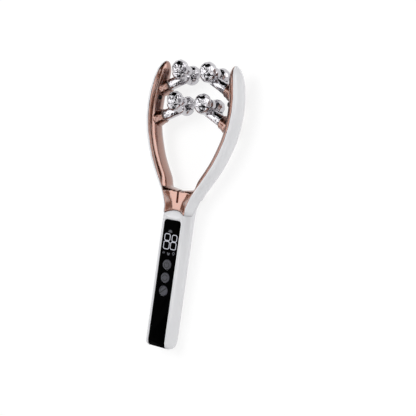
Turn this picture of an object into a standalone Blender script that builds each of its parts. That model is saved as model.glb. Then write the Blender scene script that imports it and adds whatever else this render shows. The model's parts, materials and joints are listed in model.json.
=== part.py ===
"""Handheld facial massager: a display handle, a two-tine fork and four pairs of faceted rollers.

Units are metres. The massager lies on its back: +X is across it, +Y runs up the handle to the
tips of the tines and +Z is the side with the display. The origin is under the middle of the
whole object, on the surface that it lies on.
"""
import math

import bmesh
import bpy
import numpy as np
from mathutils import Matrix, Vector

# Overall sizes
CROTCH_HEIGHT = 0.1225
FORK_LENGTH = 0.0975
TOTAL_LENGTH = CROTCH_HEIGHT + FORK_LENGTH
HANDLE_HALF_DEPTH = 0.0089
FRONT_FLAT_HALF = 0.0089
PLATE_HALF_WIDTH = 0.00875
SIDE_BULGE = 0.0022
BULGE_HEIGHT_SHARE = 0.444
NECK_LENGTH = 0.0185
NECK_START = CROTCH_HEIGHT - NECK_LENGTH
TINE_REACH = 0.0370

# Roundings of the lower end of the handle
FRONT_END_FLAT = 0.0034
REAR_END_FLAT = 0.0004
FRONT_END_RADIUS = HANDLE_HALF_DEPTH - FRONT_END_FLAT
REAR_END_RADIUS = HANDLE_HALF_DEPTH - REAR_END_FLAT
SIDE_END_RADIUS = 0.0030

# Walls, gaps and cutting
SHELL_WALL = 0.0019
TINE_WALL = 0.0013
FIT_GAP = 0.0003
OVERRUN = 0.0030

# Seams of the handle
REAR_SHELL_DROP = 0.0063
REAR_SHELL_TOP = CROTCH_HEIGHT - REAR_SHELL_DROP
SEAM_LOW_Z = -0.0008
SEAM_HIGH_Z = -0.0036
SEAM_CORNER_RADIUS = 0.0012
FRONT_PLATE_THICKNESS = 0.0026
FRONT_PLATE_UNDERSIDE = HANDLE_HALF_DEPTH - FRONT_PLATE_THICKNESS
SKIRT_HALF_WIDTH = 0.0076
SKIRT_THICKNESS = 0.0008
SKIRT_DEPTH = 0.0018
FRONT_LIP_DEPTH = 0.0058
FRONT_LIP_BOTTOM = HANDLE_HALF_DEPTH - FRONT_LIP_DEPTH
FRONT_LIP_HEIGHT = 0.0026
WHITE_PEAK_RISE = 0.0028
FRONT_SCOOP = 0.0025
SCOOP_LENGTH = 0.0095
SCOOP_BAND_WIDTH = 0.0056

# Display panel
PANEL_HALF_WIDTH = 0.0074
PANEL_TOP_DROP = 0.0049
PANEL_TOP = NECK_START - PANEL_TOP_DROP
PANEL_CORNER_RADIUS = 0.0026
PANEL_INSET = 0.0002
PANEL_THICKNESS = 0.0010

# Buttons and circuit board
BUTTON_PITCH = 0.0101
BUTTON_COUNT = 3
BUTTON_RADIUS = 0.0039
BUTTON_PROUD = 0.0002
BUTTON_CLEARANCE = 0.0004
BUTTON_FLANGE_WIDTH = 0.0009
BUTTON_FLANGE_THICKNESS = 0.0008
BUTTON_EDGE_RADIUS = 0.0005
BUTTON_TRAVEL = 0.0005
BUTTON_STEM_RADIUS = 0.0014
BOARD_HALF_WIDTH = 0.0075
BOARD_DROP = 0.0041
BOARD_TOP = FRONT_PLATE_UNDERSIDE - BOARD_DROP
BOARD_THICKNESS = 0.0012
BOARD_START = 0.0100
SWITCH_SIDE = 0.0052
SWITCH_HEIGHT = 0.0015
SWITCH_PLUNGER_RADIUS = 0.0013
SWITCH_PLUNGER_HEIGHT = 0.0005

# Display module behind the panel, with the buttons and the board's end set out from it
MODULE_HALF_WIDTH = 0.0062
MODULE_DROP = 0.0076
MODULE_LENGTH = 0.0210
MODULE_LEDGE = 0.0035
MODULE_END = PANEL_TOP - MODULE_DROP
MODULE_START = MODULE_END - MODULE_LENGTH
BOARD_END = MODULE_END - MODULE_LEDGE
TOP_BUTTON_DROP = 0.0057
TOP_BUTTON_HEIGHT = MODULE_START - TOP_BUTTON_DROP

# Battery cell, vibration motor and charging socket
BATTERY_WIDTH = 0.0140
BATTERY_LIFT = 0.0014
BATTERY_BOTTOM_Z = SHELL_WALL + BATTERY_LIFT - HANDLE_HALF_DEPTH
BATTERY_BEVEL = 0.0012
BATTERY_REST_SHARES = (0.15, 0.80)
MOTOR_CLEARANCE = 0.0007
MOTOR_ROOM = BOARD_TOP - BOARD_THICKNESS + HANDLE_HALF_DEPTH - SHELL_WALL
MOTOR_RADIUS = MOTOR_ROOM / 2 - MOTOR_CLEARANCE
MOTOR_DROP = 0.0045
MOTOR_START = MODULE_START - MOTOR_DROP
MOTOR_LENGTH = 0.0110
MOTOR_HEIGHT = SHELL_WALL + MOTOR_CLEARANCE + MOTOR_RADIUS - HANDLE_HALF_DEPTH
MOTOR_SHAFT_RADIUS = 0.0005
MOTOR_SHAFT_LENGTH = 0.0066
WEIGHT_SET_IN = 0.0005
WEIGHT_RADIUS = MOTOR_RADIUS - WEIGHT_SET_IN
WEIGHT_LENGTH = 0.0040
WEIGHT_START_ANGLE = math.radians(172)
WEIGHT_SWEEP = math.radians(196)
CRADLE_THICKNESS = 0.0016
BATTERY_START = 0.0140
BATTERY_TO_MOTOR = 0.0080
BATTERY_LENGTH = MOTOR_START - BATTERY_TO_MOTOR - BATTERY_START
SOCKET_WIDTH = 0.0090
SOCKET_HEIGHT = 0.0033
SOCKET_LENGTH = 0.0080
SOCKET_WALL = 0.0003
SOCKET_DROP = 0.0025
SOCKET_MIDDLE_Z = FRONT_LIP_BOTTOM - SOCKET_DROP
SOCKET_SET_BACK = 0.0004
TONGUE_THICKNESS = 0.0007
TONGUE_HALF_WIDTH = 0.0033

# Fork tang and the screws that clamp it between the handle shells
TANG_HALF_WIDTH = 0.0068
TANG_OVERLAP = 0.0096
TANG_START = PANEL_TOP - TANG_OVERLAP
TANG_CLEARANCE = 0.0012
TANG_THICKNESS = 0.0052
TANG_TOP_Z = FRONT_PLATE_UNDERSIDE - FRONT_SCOOP - TANG_CLEARANCE
TANG_BOTTOM_Z = TANG_TOP_Z - TANG_THICKNESS
SHELL_SCREW_OFFSET = 0.0048
SHELL_SCREW_DROP = 0.0041
SHELL_SCREW_HEIGHT = PANEL_TOP - SHELL_SCREW_DROP
SCREW_SHANK_RADIUS = 0.0010
SCREW_HEAD_RADIUS = 0.0017
SCREW_HEAD_HEIGHT = 0.0008
BOSS_RADIUS = 0.0024

# Tines
TINE_SLIMMING = 0.0007
TINE_HALF_DEPTH = HANDLE_HALF_DEPTH - TINE_SLIMMING
TINE_OUTER_BULGE = 0.0042
TINE_INNER_BULGE = 0.0065
TIP_LENGTH = 0.0140
TIP_BLUNTNESS = 0.0008
CHANNEL_END_SET_BACK = 0.0080
CHANNEL_NECK_DEPTH = 0.0014
CHANNEL_OPEN_RISE = 0.0240

# Crotch of the liner and its slit, which runs out through the edge of the window
CROTCH_ROUND = 0.0022
SLIT_LENGTH = 0.0100
SLIT_WIDTH = 0.0010
SLIT_DEPTH = 0.0016

# Roller rows
UPPER_ROW_DROP = 0.0066
ROW_PITCH = 0.0240
UPPER_ROW_HEIGHT = TOTAL_LENGTH - UPPER_ROW_DROP
LOWER_ROW_HEIGHT = UPPER_ROW_HEIGHT - ROW_PITCH
UPPER_ROW_Z = -0.0012
LOWER_ROW_Z = 0.0
HUB_OFFSET = 0.0129
ROLLER_OFFSET = 0.0100
ROLLER_RADIUS = 0.0063
AXLE_TILT = math.radians(5.0)
AXLE_TOE_IN = math.radians(2.4)

# Roller arms
ARM_RISE = math.radians(25.0)
SHOULDER_INSET = 0.0114
ARM_LENGTH = (TINE_REACH - SHOULDER_INSET - HUB_OFFSET) / math.cos(ARM_RISE)
ARM_DROP = 0.0056
ARM_ROOT_RADIUS = 0.0046
ARM_END_RADIUS = 0.0042
ARM_DEPTH_SHARE = 0.92
ARM_SHANK_RADIUS = 0.0028
ARM_SHANK_LENGTH = 0.0052
HUB_RADIUS = 0.0042
HUB_NECK_RADIUS = 0.0031
HUB_BARREL_SHARE = 0.45
CUP_RADIUS = 0.0063
CUP_DROP = 0.0029
CUP_INSET = 0.0008
CUP_RIM_DROP = 0.0012
CUP_CLEARANCE = 0.0007
YOKE_RADIUS = 0.0031
YOKE_DROP = 0.0059

# Sockets of the arms on the liner
SOCKET_RIM_RADIUS = 0.0056
SOCKET_BASE_RADIUS = 0.0068
SOCKET_RISE = 0.0042
SOCKET_RIM_ROUND = 0.0008
SOCKET_FLOOR = 0.0014
ARM_SCREW_LENGTH = 0.0050

# Axles, bushes and retaining rings
AXLE_RADIUS = 0.0015
BUSH_WALL = 0.0008
BORE_FLOOR = 0.0018
GROOVE_WIDTH = 0.0012
GROOVE_DEPTH = 0.0006
AXLE_END = 0.0007
ROLLER_FACE_RADIUS = 0.0033

# Domed plugs between the arms, with the screw that each covers
DOME_RADIUS = 0.0020
DOME_RISE = 0.0011
DOME_STEM_LENGTH = 0.0006
DOME_DROP = 0.0101
DOME_HEIGHT = (UPPER_ROW_HEIGHT + LOWER_ROW_HEIGHT) / 2 - DOME_DROP
DOME_Z = 0.0031

# Flare of a socket, as (share of its rise, share of the way out to its base)
FLARE_SHARES = ((0.45, 0.10), (0.20, 0.40), (0.0, 1.0))

# Insulated leads from the board up the tines
LEAD_RADIUS = 0.0006

# Search for the rest: sweep round the lowest point of a rear roller, and the steepest rest
REST_SWEEP = math.radians(15)
MOST_REST_TILT = math.radians(10)

# Facets and segments
ROUND_STEPS = 16
SMALL_STEPS = 10
FACETS_AROUND = 10
FACET_LEAN = math.radians(9.0)
# Rows of facets on a roller: shift in facets, and latitude in degrees
FACET_ROWS = ((0.0, 0.0), (0.5, 30.5), (0.5, -30.5), (0.0, 58.0), (0.0, -58.0))

# Shares of a half width taken by rounded corners, and powers that square up rounded sections
BAR_ROUND_SHARE = 0.85
WALL_POWER = 0.9
CHANNEL_POWER = 0.7
BACK_POWER = 2 / 3.0
# Where the trough of the neck runs out, as a share of the height from neck to tip
SCOOP_END_SHARE = 0.42

# The parting line of a tine, as (share of the height from neck to tip, share of the way out)
PARTING_SHARES = (
    (0.000, 0.000), (0.036, 0.006), (0.070, 0.035), (0.100, 0.085), (0.142, 0.158), (0.195, 0.284),
    (0.250, 0.425), (0.318, 0.575), (0.370, 0.690), (0.435, 0.790), (0.500, 0.882), (0.570, 0.950),
    (0.640, 0.986), (0.700, 1.000), (0.760, 0.994), (0.820, 0.968), (0.880, 0.920), (0.940, 0.855),
    (1.000, 0.780),
)
# Bulges and depth along a tine, as shares of their largest value
HEIGHT_SHARES = (0.00, 0.10, 0.25, 0.45, 0.70, 0.85, 1.00)
OUTER_BULGE_SHARES = (0.53, 0.70, 0.88, 0.98, 1.00, 0.96, 0.88)
INNER_BULGE_SHARES = (0.70, 0.72, 0.80, 0.84, 0.96, 1.00, 0.92)
HALF_DEPTH_SHARES = (1.085, 1.06, 1.03, 1.01, 1.00, 0.98, 0.96)
# Stations along a tine, from the neck to the start of its rounded tip
STATION_SHARES = (0.215, 0.28, 0.35, 0.43, 0.52, 0.61, 0.70, 0.79, 0.875)
TIP_ANGLE_SHARES = (0.30, 0.54, 0.75, 0.90, 1.00)
# Neck stations of the liner: outer end on the parting line, window edge (across and up)
NECK_PARTING_SHARES = (0.000, 0.045, 0.085, 0.125, 0.165)
NECK_WINDOW_ACROSS_SHARES = (0.115, 0.16, 0.21, 0.27, 0.325)
NECK_WINDOW_RISE_SHARES = (0.060, 0.105, 0.165, 0.250, 0.430)
# Lower edge of the liner between its two lobes, from the middle out
EDGE_ACROSS_SHARES = (0.0, 0.28, 0.52, 0.78)
EDGE_RISE_SHARES = (1.0, 0.90, 0.66, 0.28)
EDGE_WINDOW_SHARES = (0.0, 0.028, 0.056, 0.085)

MASSAGER = "facial_massager"
CUTTERS = "cutters"
SIDES = (("left", -1), ("right", 1))
ROWS = (("upper", UPPER_ROW_HEIGHT, UPPER_ROW_Z), ("lower", LOWER_ROW_HEIGHT, LOWER_ROW_Z))
TIP_START = TOTAL_LENGTH - TIP_LENGTH


# Scene, collections and materials

def clear_scene():
    for item in list(bpy.data.objects):
        bpy.data.objects.remove(item, do_unlink=True)
    for name in (MASSAGER, CUTTERS):
        group = bpy.data.collections.new(name)
        bpy.context.scene.collection.children.link(group)


def make_material(name, colour, roughness, metallic=0.0):
    material = bpy.data.materials.new(name)
    material.use_nodes = True
    shader = material.node_tree.nodes["Principled BSDF"]
    shader.inputs["Base Color"].default_value = (*colour, 1.0)
    shader.inputs["Roughness"].default_value = roughness
    shader.inputs["Metallic"].default_value = metallic
    material.diffuse_color = (*colour, 1.0)
    return material


def make_materials():
    return {
        "white": make_material("white_gloss_abs", (0.86, 0.86, 0.87), 0.22),
        "rose": make_material("rose_gold_plating", (0.55, 0.28, 0.21), 0.18, 1.0),
        "chrome": make_material("bright_chrome", (0.80, 0.80, 0.84), 0.08, 1.0),
        "black": make_material("black_gloss_panel", (0.01, 0.01, 0.01), 0.10),
        "button": make_material("grey_button_plastic", (0.10, 0.10, 0.12), 0.45),
        "board": make_material("green_circuit_board", (0.02, 0.16, 0.07), 0.50),
        "steel": make_material("turned_steel", (0.58, 0.58, 0.60), 0.28, 1.0),
        "acetal": make_material("natural_acetal", (0.78, 0.77, 0.72), 0.45),
        "foil": make_material("cell_foil", (0.62, 0.63, 0.66), 0.35, 0.6),
        "red": make_material("red_insulation", (0.50, 0.03, 0.02), 0.45),
    }


# Mesh helpers

def add_object(name, bm, material=None, collection=MASSAGER, smooth_angle=None):
    mesh = bpy.data.meshes.new(name)
    bm.normal_update()
    bm.to_mesh(mesh)
    bm.free()
    if smooth_angle is not None:
        mesh.shade_smooth()
        mesh.set_sharp_from_angle(angle=smooth_angle)
    item = bpy.data.objects.new(name, mesh)
    bpy.data.collections[collection].objects.link(item)
    if material is not None:
        mesh.materials.append(material)
    if collection == CUTTERS:
        item.hide_render = True
        item.display_type = "WIRE"
    return item


def box_bm(low, high):
    """A box between two corners."""
    bm = bmesh.new()
    bmesh.ops.create_cube(bm, size=1.0)
    size = [b - a for a, b in zip(low, high)]
    middle = [(a + b) / 2 for a, b in zip(low, high)]
    bmesh.ops.scale(bm, vec=size, verts=bm.verts)
    bmesh.ops.translate(bm, vec=middle, verts=bm.verts)
    return bm


def bevel_edges(bm, edges, width, segments):
    bmesh.ops.bevel(bm, geom=list(edges), offset=width, segments=segments, profile=0.5,
                    affect="EDGES", clamp_overlap=True, material=-1)


def along(bm, axis):
    """The edges that run along one axis."""
    found = []
    for edge in bm.edges:
        run = (edge.verts[1].co - edge.verts[0].co).normalized()
        if abs(run[axis]) > math.cos(math.radians(1.0)):
            found.append(edge)
    return found


def cylinder_bm(radius, start, end, steps=ROUND_STEPS, top_radius=None):
    """A cylinder or cone about Z between two heights."""
    bm = bmesh.new()
    bmesh.ops.create_cone(bm, cap_ends=True, cap_tris=False, segments=steps, radius1=radius,
                          radius2=radius if top_radius is None else top_radius, depth=end - start)
    bmesh.ops.translate(bm, vec=(0, 0, (start + end) / 2), verts=bm.verts)
    return bm


def turned_bm(profile, steps=ROUND_STEPS):
    """A solid turned about Z from (radius, height) points that start and end on the axis."""
    bm = bmesh.new()
    verts = [bm.verts.new((radius, 0, height)) for radius, height in profile]
    edges = [bm.edges.new(pair) for pair in zip(verts, verts[1:])]
    bmesh.ops.spin(bm, geom=verts + edges, cent=(0, 0, 0), axis=(0, 0, 1), angle=math.tau,
                   steps=steps, use_merge=True)
    bmesh.ops.remove_doubles(bm, verts=bm.verts, dist=OVERRUN / 10000)
    bmesh.ops.recalc_face_normals(bm, faces=bm.faces)
    return bm


def ring_bm(profile, steps=ROUND_STEPS):
    """A ring turned about Z from a closed outline of (radius, height) points."""
    return turned_bm(list(profile) + [profile[0]], steps)


def prism_bm(outline, start, end, axis):
    """A flat outline carried along one axis, 0 for X, 1 for Y or 2 for Z."""
    bm = bmesh.new()
    verts = []
    for first, second in outline:
        place = [first, second]
        place.insert(axis, start)
        verts.append(bm.verts.new(place))
    face = bm.faces.new(verts)
    grown = bmesh.ops.extrude_face_region(bm, geom=[face])
    moved = [item for item in grown["geom"] if isinstance(item, bmesh.types.BMVert)]
    step = [0, 0, 0]
    step[axis] = end - start
    bmesh.ops.translate(bm, vec=step, verts=moved)
    bmesh.ops.recalc_face_normals(bm, faces=bm.faces)
    return bm


def loft_bm(rings):
    """A closed solid through rings of points that all have the same count."""
    bm = bmesh.new()
    loops = [[bm.verts.new(point) for point in ring] for ring in rings]
    for low, high in zip(loops, loops[1:]):
        for index, vert in enumerate(low):
            after = (index + 1) % len(low)
            bm.faces.new((vert, low[after], high[after], high[index]))
    bm.faces.new(loops[0])
    bm.faces.new(loops[-1])
    bmesh.ops.triangulate(bm, faces=bm.faces)
    bmesh.ops.recalc_face_normals(bm, faces=bm.faces)
    return bm


def placed(bm, matrix):
    bmesh.ops.transform(bm, matrix=matrix, verts=bm.verts)
    return bm


def boolean(item, bm, operation="DIFFERENCE"):
    """Cut, join or intersect an object with a mesh, which stays as a guide object."""
    tool = add_object(item.name + "_" + operation.lower(), bm, collection=CUTTERS)
    modifier = item.modifiers.new(tool.name, "BOOLEAN")
    modifier.operation = operation
    modifier.object = tool
    modifier.solver = "EXACT"
    return tool


def cut(item, bm):
    boolean(item, bm)


def join(item, bm):
    boolean(item, bm, "UNION")


def keep(item, bm):
    boolean(item, bm, "INTERSECT")


def apply_modifiers(item):
    """Fix the result of an object's modifiers in its mesh."""
    graph = bpy.context.evaluated_depsgraph_get()
    mesh = bpy.data.meshes.new_from_object(item.evaluated_get(graph))
    mesh.name = item.name
    guides = [modifier.object for modifier in item.modifiers]
    item.modifiers.clear()
    item.data = mesh
    for guide in guides:
        bpy.data.objects.remove(guide, do_unlink=True)
    return item


def taken_bm(item):
    """The finished mesh of a guide object, which is then removed."""
    apply_modifiers(item)
    bm = bmesh.new()
    bm.from_mesh(item.data)
    bpy.data.objects.remove(item, do_unlink=True)
    return bm


def along_axis(point, direction):
    """The frame whose Z runs along a direction from a point."""
    turn = Vector(direction).to_track_quat("Z", "Y").to_matrix().to_4x4()
    return Matrix.Translation(Vector(point)) @ turn


# Form of the handle

def smooth_share(share):
    share = min(max(share, 0.0), 1.0)
    return share * share * (3 - 2 * share)


def hermite(places, values, at):
    """A smooth curve through points, read at one place."""
    slopes = np.gradient(np.array(values, float), np.array(places, float))
    index = int(np.clip(np.searchsorted(places, at) - 1, 0, len(places) - 2))
    step = places[index + 1] - places[index]
    t = (at - places[index]) / step
    a = (1 + 2 * t) * (1 - t) ** 2 * values[index]
    b = t * (1 - t) ** 2 * step * slopes[index]
    c = t * t * (3 - 2 * t) * values[index + 1]
    d = t * t * (t - 1) * step * slopes[index + 1]
    return float(a + b + c + d)


def height_share(height):
    return (height - NECK_START) / (TOTAL_LENGTH - NECK_START)


def share_height(share):
    return NECK_START + share * (TOTAL_LENGTH - NECK_START)


def parting_across(height):
    """How far from the middle the parting line lies at a height."""
    share = height_share(height)
    if share <= 0:
        return FRONT_FLAT_HALF
    heights = [item[0] for item in PARTING_SHARES]
    out = [item[1] for item in PARTING_SHARES]
    return FRONT_FLAT_HALF + hermite(heights, out, share) * (TINE_REACH - FRONT_FLAT_HALF)


def table_size(values, full, height):
    share = min(max(height_share(height), 0.0), 1.0)
    return hermite(HEIGHT_SHARES, values, share) * full


def outer_bulge(height):
    if height <= NECK_START:
        return SIDE_BULGE
    return table_size(OUTER_BULGE_SHARES, TINE_OUTER_BULGE, height)


def inner_bulge(height):
    return table_size(INNER_BULGE_SHARES, TINE_INNER_BULGE, height)


def tine_depth(height):
    return table_size(HALF_DEPTH_SHARES, TINE_HALF_DEPTH, height)


def tip_shrink(height):
    """The taper of a tine's section in its rounded tip."""
    share = max(0.0, (height - TIP_START) / TIP_LENGTH)
    return math.sqrt(max(1 - share * share, 0.0))


def end_drop(height, radius):
    """How far a rounded lower end falls back at a height above it."""
    if height >= radius:
        return 0.0
    return radius - math.sqrt(radius ** 2 - (radius - height) ** 2)


def front_scoop(height, across):
    """How far the trough in the front of the neck lies under it: level, with sloping side bands."""
    start = smooth_share((height - PANEL_TOP) / SCOOP_LENGTH)
    end = 1 - smooth_share(height_share(height) / SCOOP_END_SHARE)
    side = (parting_across(height) - abs(across)) / SCOOP_BAND_WIDTH
    return FRONT_SCOOP * start * end * min(max(side, 0.0), 1.0)


def handle_ring(height, inset):
    """The section of the handle at a height, with an even inset from its skin."""
    above = max(height - inset, 0.0)
    flat = parting_across(height) - end_drop(above, SIDE_END_RADIUS - inset / 2) - inset
    bulge = outer_bulge(height)
    front = HANDLE_HALF_DEPTH - inset - end_drop(above, FRONT_END_RADIUS - inset)
    rear = HANDLE_HALF_DEPTH - inset - end_drop(above, REAR_END_RADIUS - inset)
    middle = BULGE_HEIGHT_SHARE * (front + rear) - rear
    half = []
    for across in (0.0, FRONT_FLAT_HALF - SCOOP_BAND_WIDTH, flat):
        half.append((across, front - front_scoop(height, across)))
    for step in range(1, 5):
        angle = math.pi / 2 * (1 - step / 4)
        half.append((flat + bulge * math.cos(angle), middle + (front - middle) * math.sin(angle)))
    for step in range(1, 7):
        angle = math.pi / 2 * step / 6
        half.append(((flat + bulge) * math.cos(angle) ** BACK_POWER,
                     middle - (rear + middle) * math.sin(angle) ** BACK_POWER))
    half[-1] = (0.0, -rear)
    mirrored = [(-x, z) for x, z in half[1:-1]]
    return [(x, height, z) for x, z in half + mirrored[::-1]]


def handle_form_bm(inset, top):
    """The whole outer form of the handle, or the form that lies an even inset under it."""
    heights = [inset]
    for step in (1, 2, 3, 4):
        angle = math.pi / 2 * step / 4
        heights.append(inset + (REAR_END_RADIUS - inset) * (1 - math.cos(angle)))
    heights += [PANEL_TOP, PANEL_TOP + SCOOP_LENGTH / 3]
    rise = NECK_START
    while rise < top - FIT_GAP:
        heights.append(rise)
        rise += (REAR_SHELL_TOP - NECK_START) / 3
    heights.append(top)
    return loft_bm([handle_ring(height, inset) for height in heights])


# Form of the fork

def tine_frame(height):
    """The parting point at a height, with the direction across the tine and away from the window."""
    step = FIT_GAP
    slope = (parting_across(height + step) - parting_across(height - step)) / (2 * step)
    outward = Vector((1, -slope, 0)).normalized()
    return Vector((parting_across(height), height, 0)), outward


def tine_heights(start_shares):
    heights = [share_height(share) for share in start_shares]
    heights += [TIP_START + TIP_LENGTH * math.sin(math.pi / 2 * share) for share in TIP_ANGLE_SHARES]
    heights[-1] = TOTAL_LENGTH - TIP_BLUNTNESS / 4
    return heights


def mirrored_rings(rings, side):
    return [[(side * x, y, z) for x, y, z in ring] for ring in rings]


def outer_shell_ring(height, wall, open_side):
    """A section of the white half of a tine, from its front edge round to its rear edge."""
    point, outward = tine_frame(height)
    shrink = tip_shrink(height)
    bulge = max(outer_bulge(height) * shrink - wall, TIP_BLUNTNESS / 2)
    depth = max(tine_depth(height) * shrink - wall, TIP_BLUNTNESS)
    ring = []
    for step in range(13):
        angle = math.pi / 2 * (1 - step / 6)
        out = open_side
        if 0 < step < 12:
            out += (bulge - open_side) * math.cos(angle) ** WALL_POWER
        place = point + outward * out
        ring.append((place.x, place.y, depth * math.sin(angle)))
    return ring


def liner_ring(point_front, point_rear, window, depth, bulge):
    """A section of the liner: round at the window edge, level towards its outer edges."""
    def half(outer, sign):
        run = Vector(outer) - Vector(window)
        points = []
        for step in range(1, 7):
            share = 1 - math.cos(math.pi / 2 * step / 6)
            reach = min(share * run.length / bulge, 1.0)
            rise = depth * math.sqrt(1 - (1 - reach) ** 2)
            place = Vector(window) + run * share
            dip = reach * front_scoop(place.y, place.x) if sign > 0 else 0.0
            points.append((place.x, place.y, sign * (rise - dip)))
        return points
    front = half(point_front, 1)
    rear = half(point_rear, -1)
    return front[::-1] + [(window[0], window[1], 0.0)] + rear


def liner_stations():
    """The liner's sections from the middle of the crotch out to the right tip."""
    rings = []
    neck_depth = tine_depth(NECK_START)
    window_rise = share_height(STATION_SHARES[0]) - CROTCH_HEIGHT
    for across, rise, window in zip(EDGE_ACROSS_SHARES, EDGE_RISE_SHARES, EDGE_WINDOW_SHARES):
        front = (across * FRONT_FLAT_HALF, NECK_START + rise * WHITE_PEAK_RISE)
        rear = (across * FRONT_FLAT_HALF, REAR_SHELL_TOP + FIT_GAP)
        inner = (window * TINE_REACH, CROTCH_HEIGHT + window * window_rise / 4)
        rings.append(liner_ring(front, rear, inner, neck_depth, CROTCH_ROUND))
    for parting, across, rise in zip(NECK_PARTING_SHARES, NECK_WINDOW_ACROSS_SHARES,
                                     NECK_WINDOW_RISE_SHARES):
        height = share_height(parting)
        point, outward = tine_frame(height)
        front = point - outward * FIT_GAP / 2
        rear_height = max(height, REAR_SHELL_TOP + FIT_GAP)
        rear = Vector((parting_across(rear_height), rear_height, 0)) - outward * FIT_GAP / 2
        if height < REAR_SHELL_TOP:
            pull = smooth_share((REAR_SHELL_TOP - height) / (REAR_SHELL_TOP - NECK_START))
            rear.x -= pull * (rear.x - FRONT_FLAT_HALF)
        inner = (across * TINE_REACH, CROTCH_HEIGHT + rise * window_rise)
        grown = smooth_share(parting / NECK_PARTING_SHARES[-1])
        bulge = CROTCH_ROUND + grown * (inner_bulge(height) - CROTCH_ROUND)
        rings.append(liner_ring(front.xy, rear.xy, inner, tine_depth(height), bulge))
    for height in tine_heights(STATION_SHARES):
        point, outward = tine_frame(height)
        shrink = tip_shrink(height)
        bulge = max(inner_bulge(height) * shrink, TIP_BLUNTNESS)
        depth = max(tine_depth(height) * shrink, TIP_BLUNTNESS)
        outer = (point - outward * FIT_GAP / 2).xy
        inner = (point - outward * bulge).xy
        rings.append(liner_ring(outer, outer, inner, depth, bulge))
    return rings


def channel_bm(side, inner):
    """The space that runs up inside a tine, from the window side to the outer side."""
    rings = []
    end = TIP_START + CHANNEL_END_SET_BACK - TIP_BLUNTNESS
    shares = [index / 11 for index in range(12)]
    start = NECK_START - OVERRUN
    for share in shares:
        height = start + share * (end - start)
        point, outward = tine_frame(max(height, NECK_START))
        point.y = height
        opened = smooth_share((height - NECK_START - CHANNEL_NECK_DEPTH) / CHANNEL_OPEN_RISE)
        shrink = tip_shrink(height)
        full_depth = tine_depth(height) * shrink - TINE_WALL
        depth = CHANNEL_NECK_DEPTH + opened * (full_depth - CHANNEL_NECK_DEPTH)
        inward = inner_bulge(height) * shrink - TINE_WALL
        inward = CHANNEL_NECK_DEPTH + opened * (inward - CHANNEL_NECK_DEPTH)
        ring = []
        for step in range(9):
            angle = math.pi / 2 * (1 - step / 4)
            if inner:
                out = OVERRUN / 2 - (inward + OVERRUN / 2) * math.cos(angle) ** CHANNEL_POWER
            else:
                reach = max(outer_bulge(height) * shrink - TINE_WALL, TIP_BLUNTNESS)
                out = -OVERRUN / 2 + (reach + OVERRUN / 2) * math.cos(angle) ** CHANNEL_POWER
            if step in (0, 8):
                out = OVERRUN / 2 if inner else -OVERRUN / 2
            place = point + outward * out
            ring.append((side * place.x, place.y, depth * math.sin(angle)))
        rings.append(ring)
    return loft_bm(rings)


# Places of the arms and rollers

def hub_point(side, height, z):
    return Vector((side * HUB_OFFSET, height, z))


def axle_direction(side):
    """From the rear roller to the front one: front end up, front ends closer together."""
    across = -side * math.sin(AXLE_TOE_IN)
    up = math.sin(AXLE_TILT)
    return Vector((across, up, math.cos(AXLE_TILT))).normalized()


def arm_direction(side):
    """Along an arm, from its socket in the tine to the hub."""
    return Vector((-side * math.cos(ARM_RISE), math.sin(ARM_RISE), 0))


def arm_root(side, height, z):
    """The middle of the arm's shoulder, where it stands on its socket."""
    return hub_point(side, height - ARM_DROP, z) - arm_direction(side) * ARM_LENGTH


def socket_top(side, height, z):
    return arm_root(side, height, z) - arm_direction(side) * FIT_GAP


# Handle

def panel_outline(gap):
    """The panel's outline seen from the front, open past the lower end of the handle."""
    half = PANEL_HALF_WIDTH + gap
    top = PANEL_TOP + gap
    radius = PANEL_CORNER_RADIUS + gap
    points = [(half, -OVERRUN)]
    for turn in (0, 1):
        for step in range(7):
            angle = math.pi / 2 * (turn + step / 6)
            sign = 1 if turn == 0 else -1
            points.append((sign * (half - radius) + radius * math.cos(angle),
                           top - radius + radius * math.sin(angle)))
    points.append((-half, -OVERRUN))
    return points


def front_edge_outline(gap):
    """The front plate seen from the front, with its peak between the liner's lobes."""
    half = PLATE_HALF_WIDTH - gap
    points = [(half, -OVERRUN), (half, NECK_START - gap)]
    for across, rise in reversed(list(zip(EDGE_ACROSS_SHARES, EDGE_RISE_SHARES))):
        points.append((across * FRONT_FLAT_HALF, NECK_START + rise * WHITE_PEAK_RISE - gap))
    points += [(-x, y) for x, y in reversed(points[:-1])]
    return points


def seam_outline(gap):
    """The step in the side seam, as (height, z) points, above which the fork's shells start."""
    low = NECK_START - FIT_GAP + gap
    high = REAR_SHELL_TOP + gap
    far = TOTAL_LENGTH
    corner_z = SEAM_LOW_Z + gap
    radius = SEAM_CORNER_RADIUS
    points = [(far, HANDLE_HALF_DEPTH + OVERRUN), (low, HANDLE_HALF_DEPTH + OVERRUN)]
    for step in range(5):
        angle = math.pi / 2 * step / 4
        points.append((low + radius * (1 - math.cos(angle)), corner_z + radius * (1 - math.sin(angle))))
    points.append((high, SEAM_HIGH_Z + gap))
    points.append((high, -HANDLE_HALF_DEPTH - OVERRUN))
    points.append((far, -HANDLE_HALF_DEPTH - OVERRUN))
    return points


def shell_screw_places():
    return [(sign * SHELL_SCREW_OFFSET, SHELL_SCREW_HEIGHT) for sign in (-1, 1)]


def button_heights():
    return [TOP_BUTTON_HEIGHT - index * BUTTON_PITCH for index in range(BUTTON_COUNT)]


def socket_box(grow, start, end):
    half_width = SOCKET_WIDTH / 2 + grow
    half_height = SOCKET_HEIGHT / 2 + grow
    bm = box_bm((-half_width, start, SOCKET_MIDDLE_Z - half_height),
                (half_width, end, SOCKET_MIDDLE_Z + half_height))
    bevel_edges(bm, along(bm, 1), half_height * BAR_ROUND_SHARE, 3)
    return bm


def rear_inside_z():
    return -(HANDLE_HALF_DEPTH - SHELL_WALL)


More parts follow.
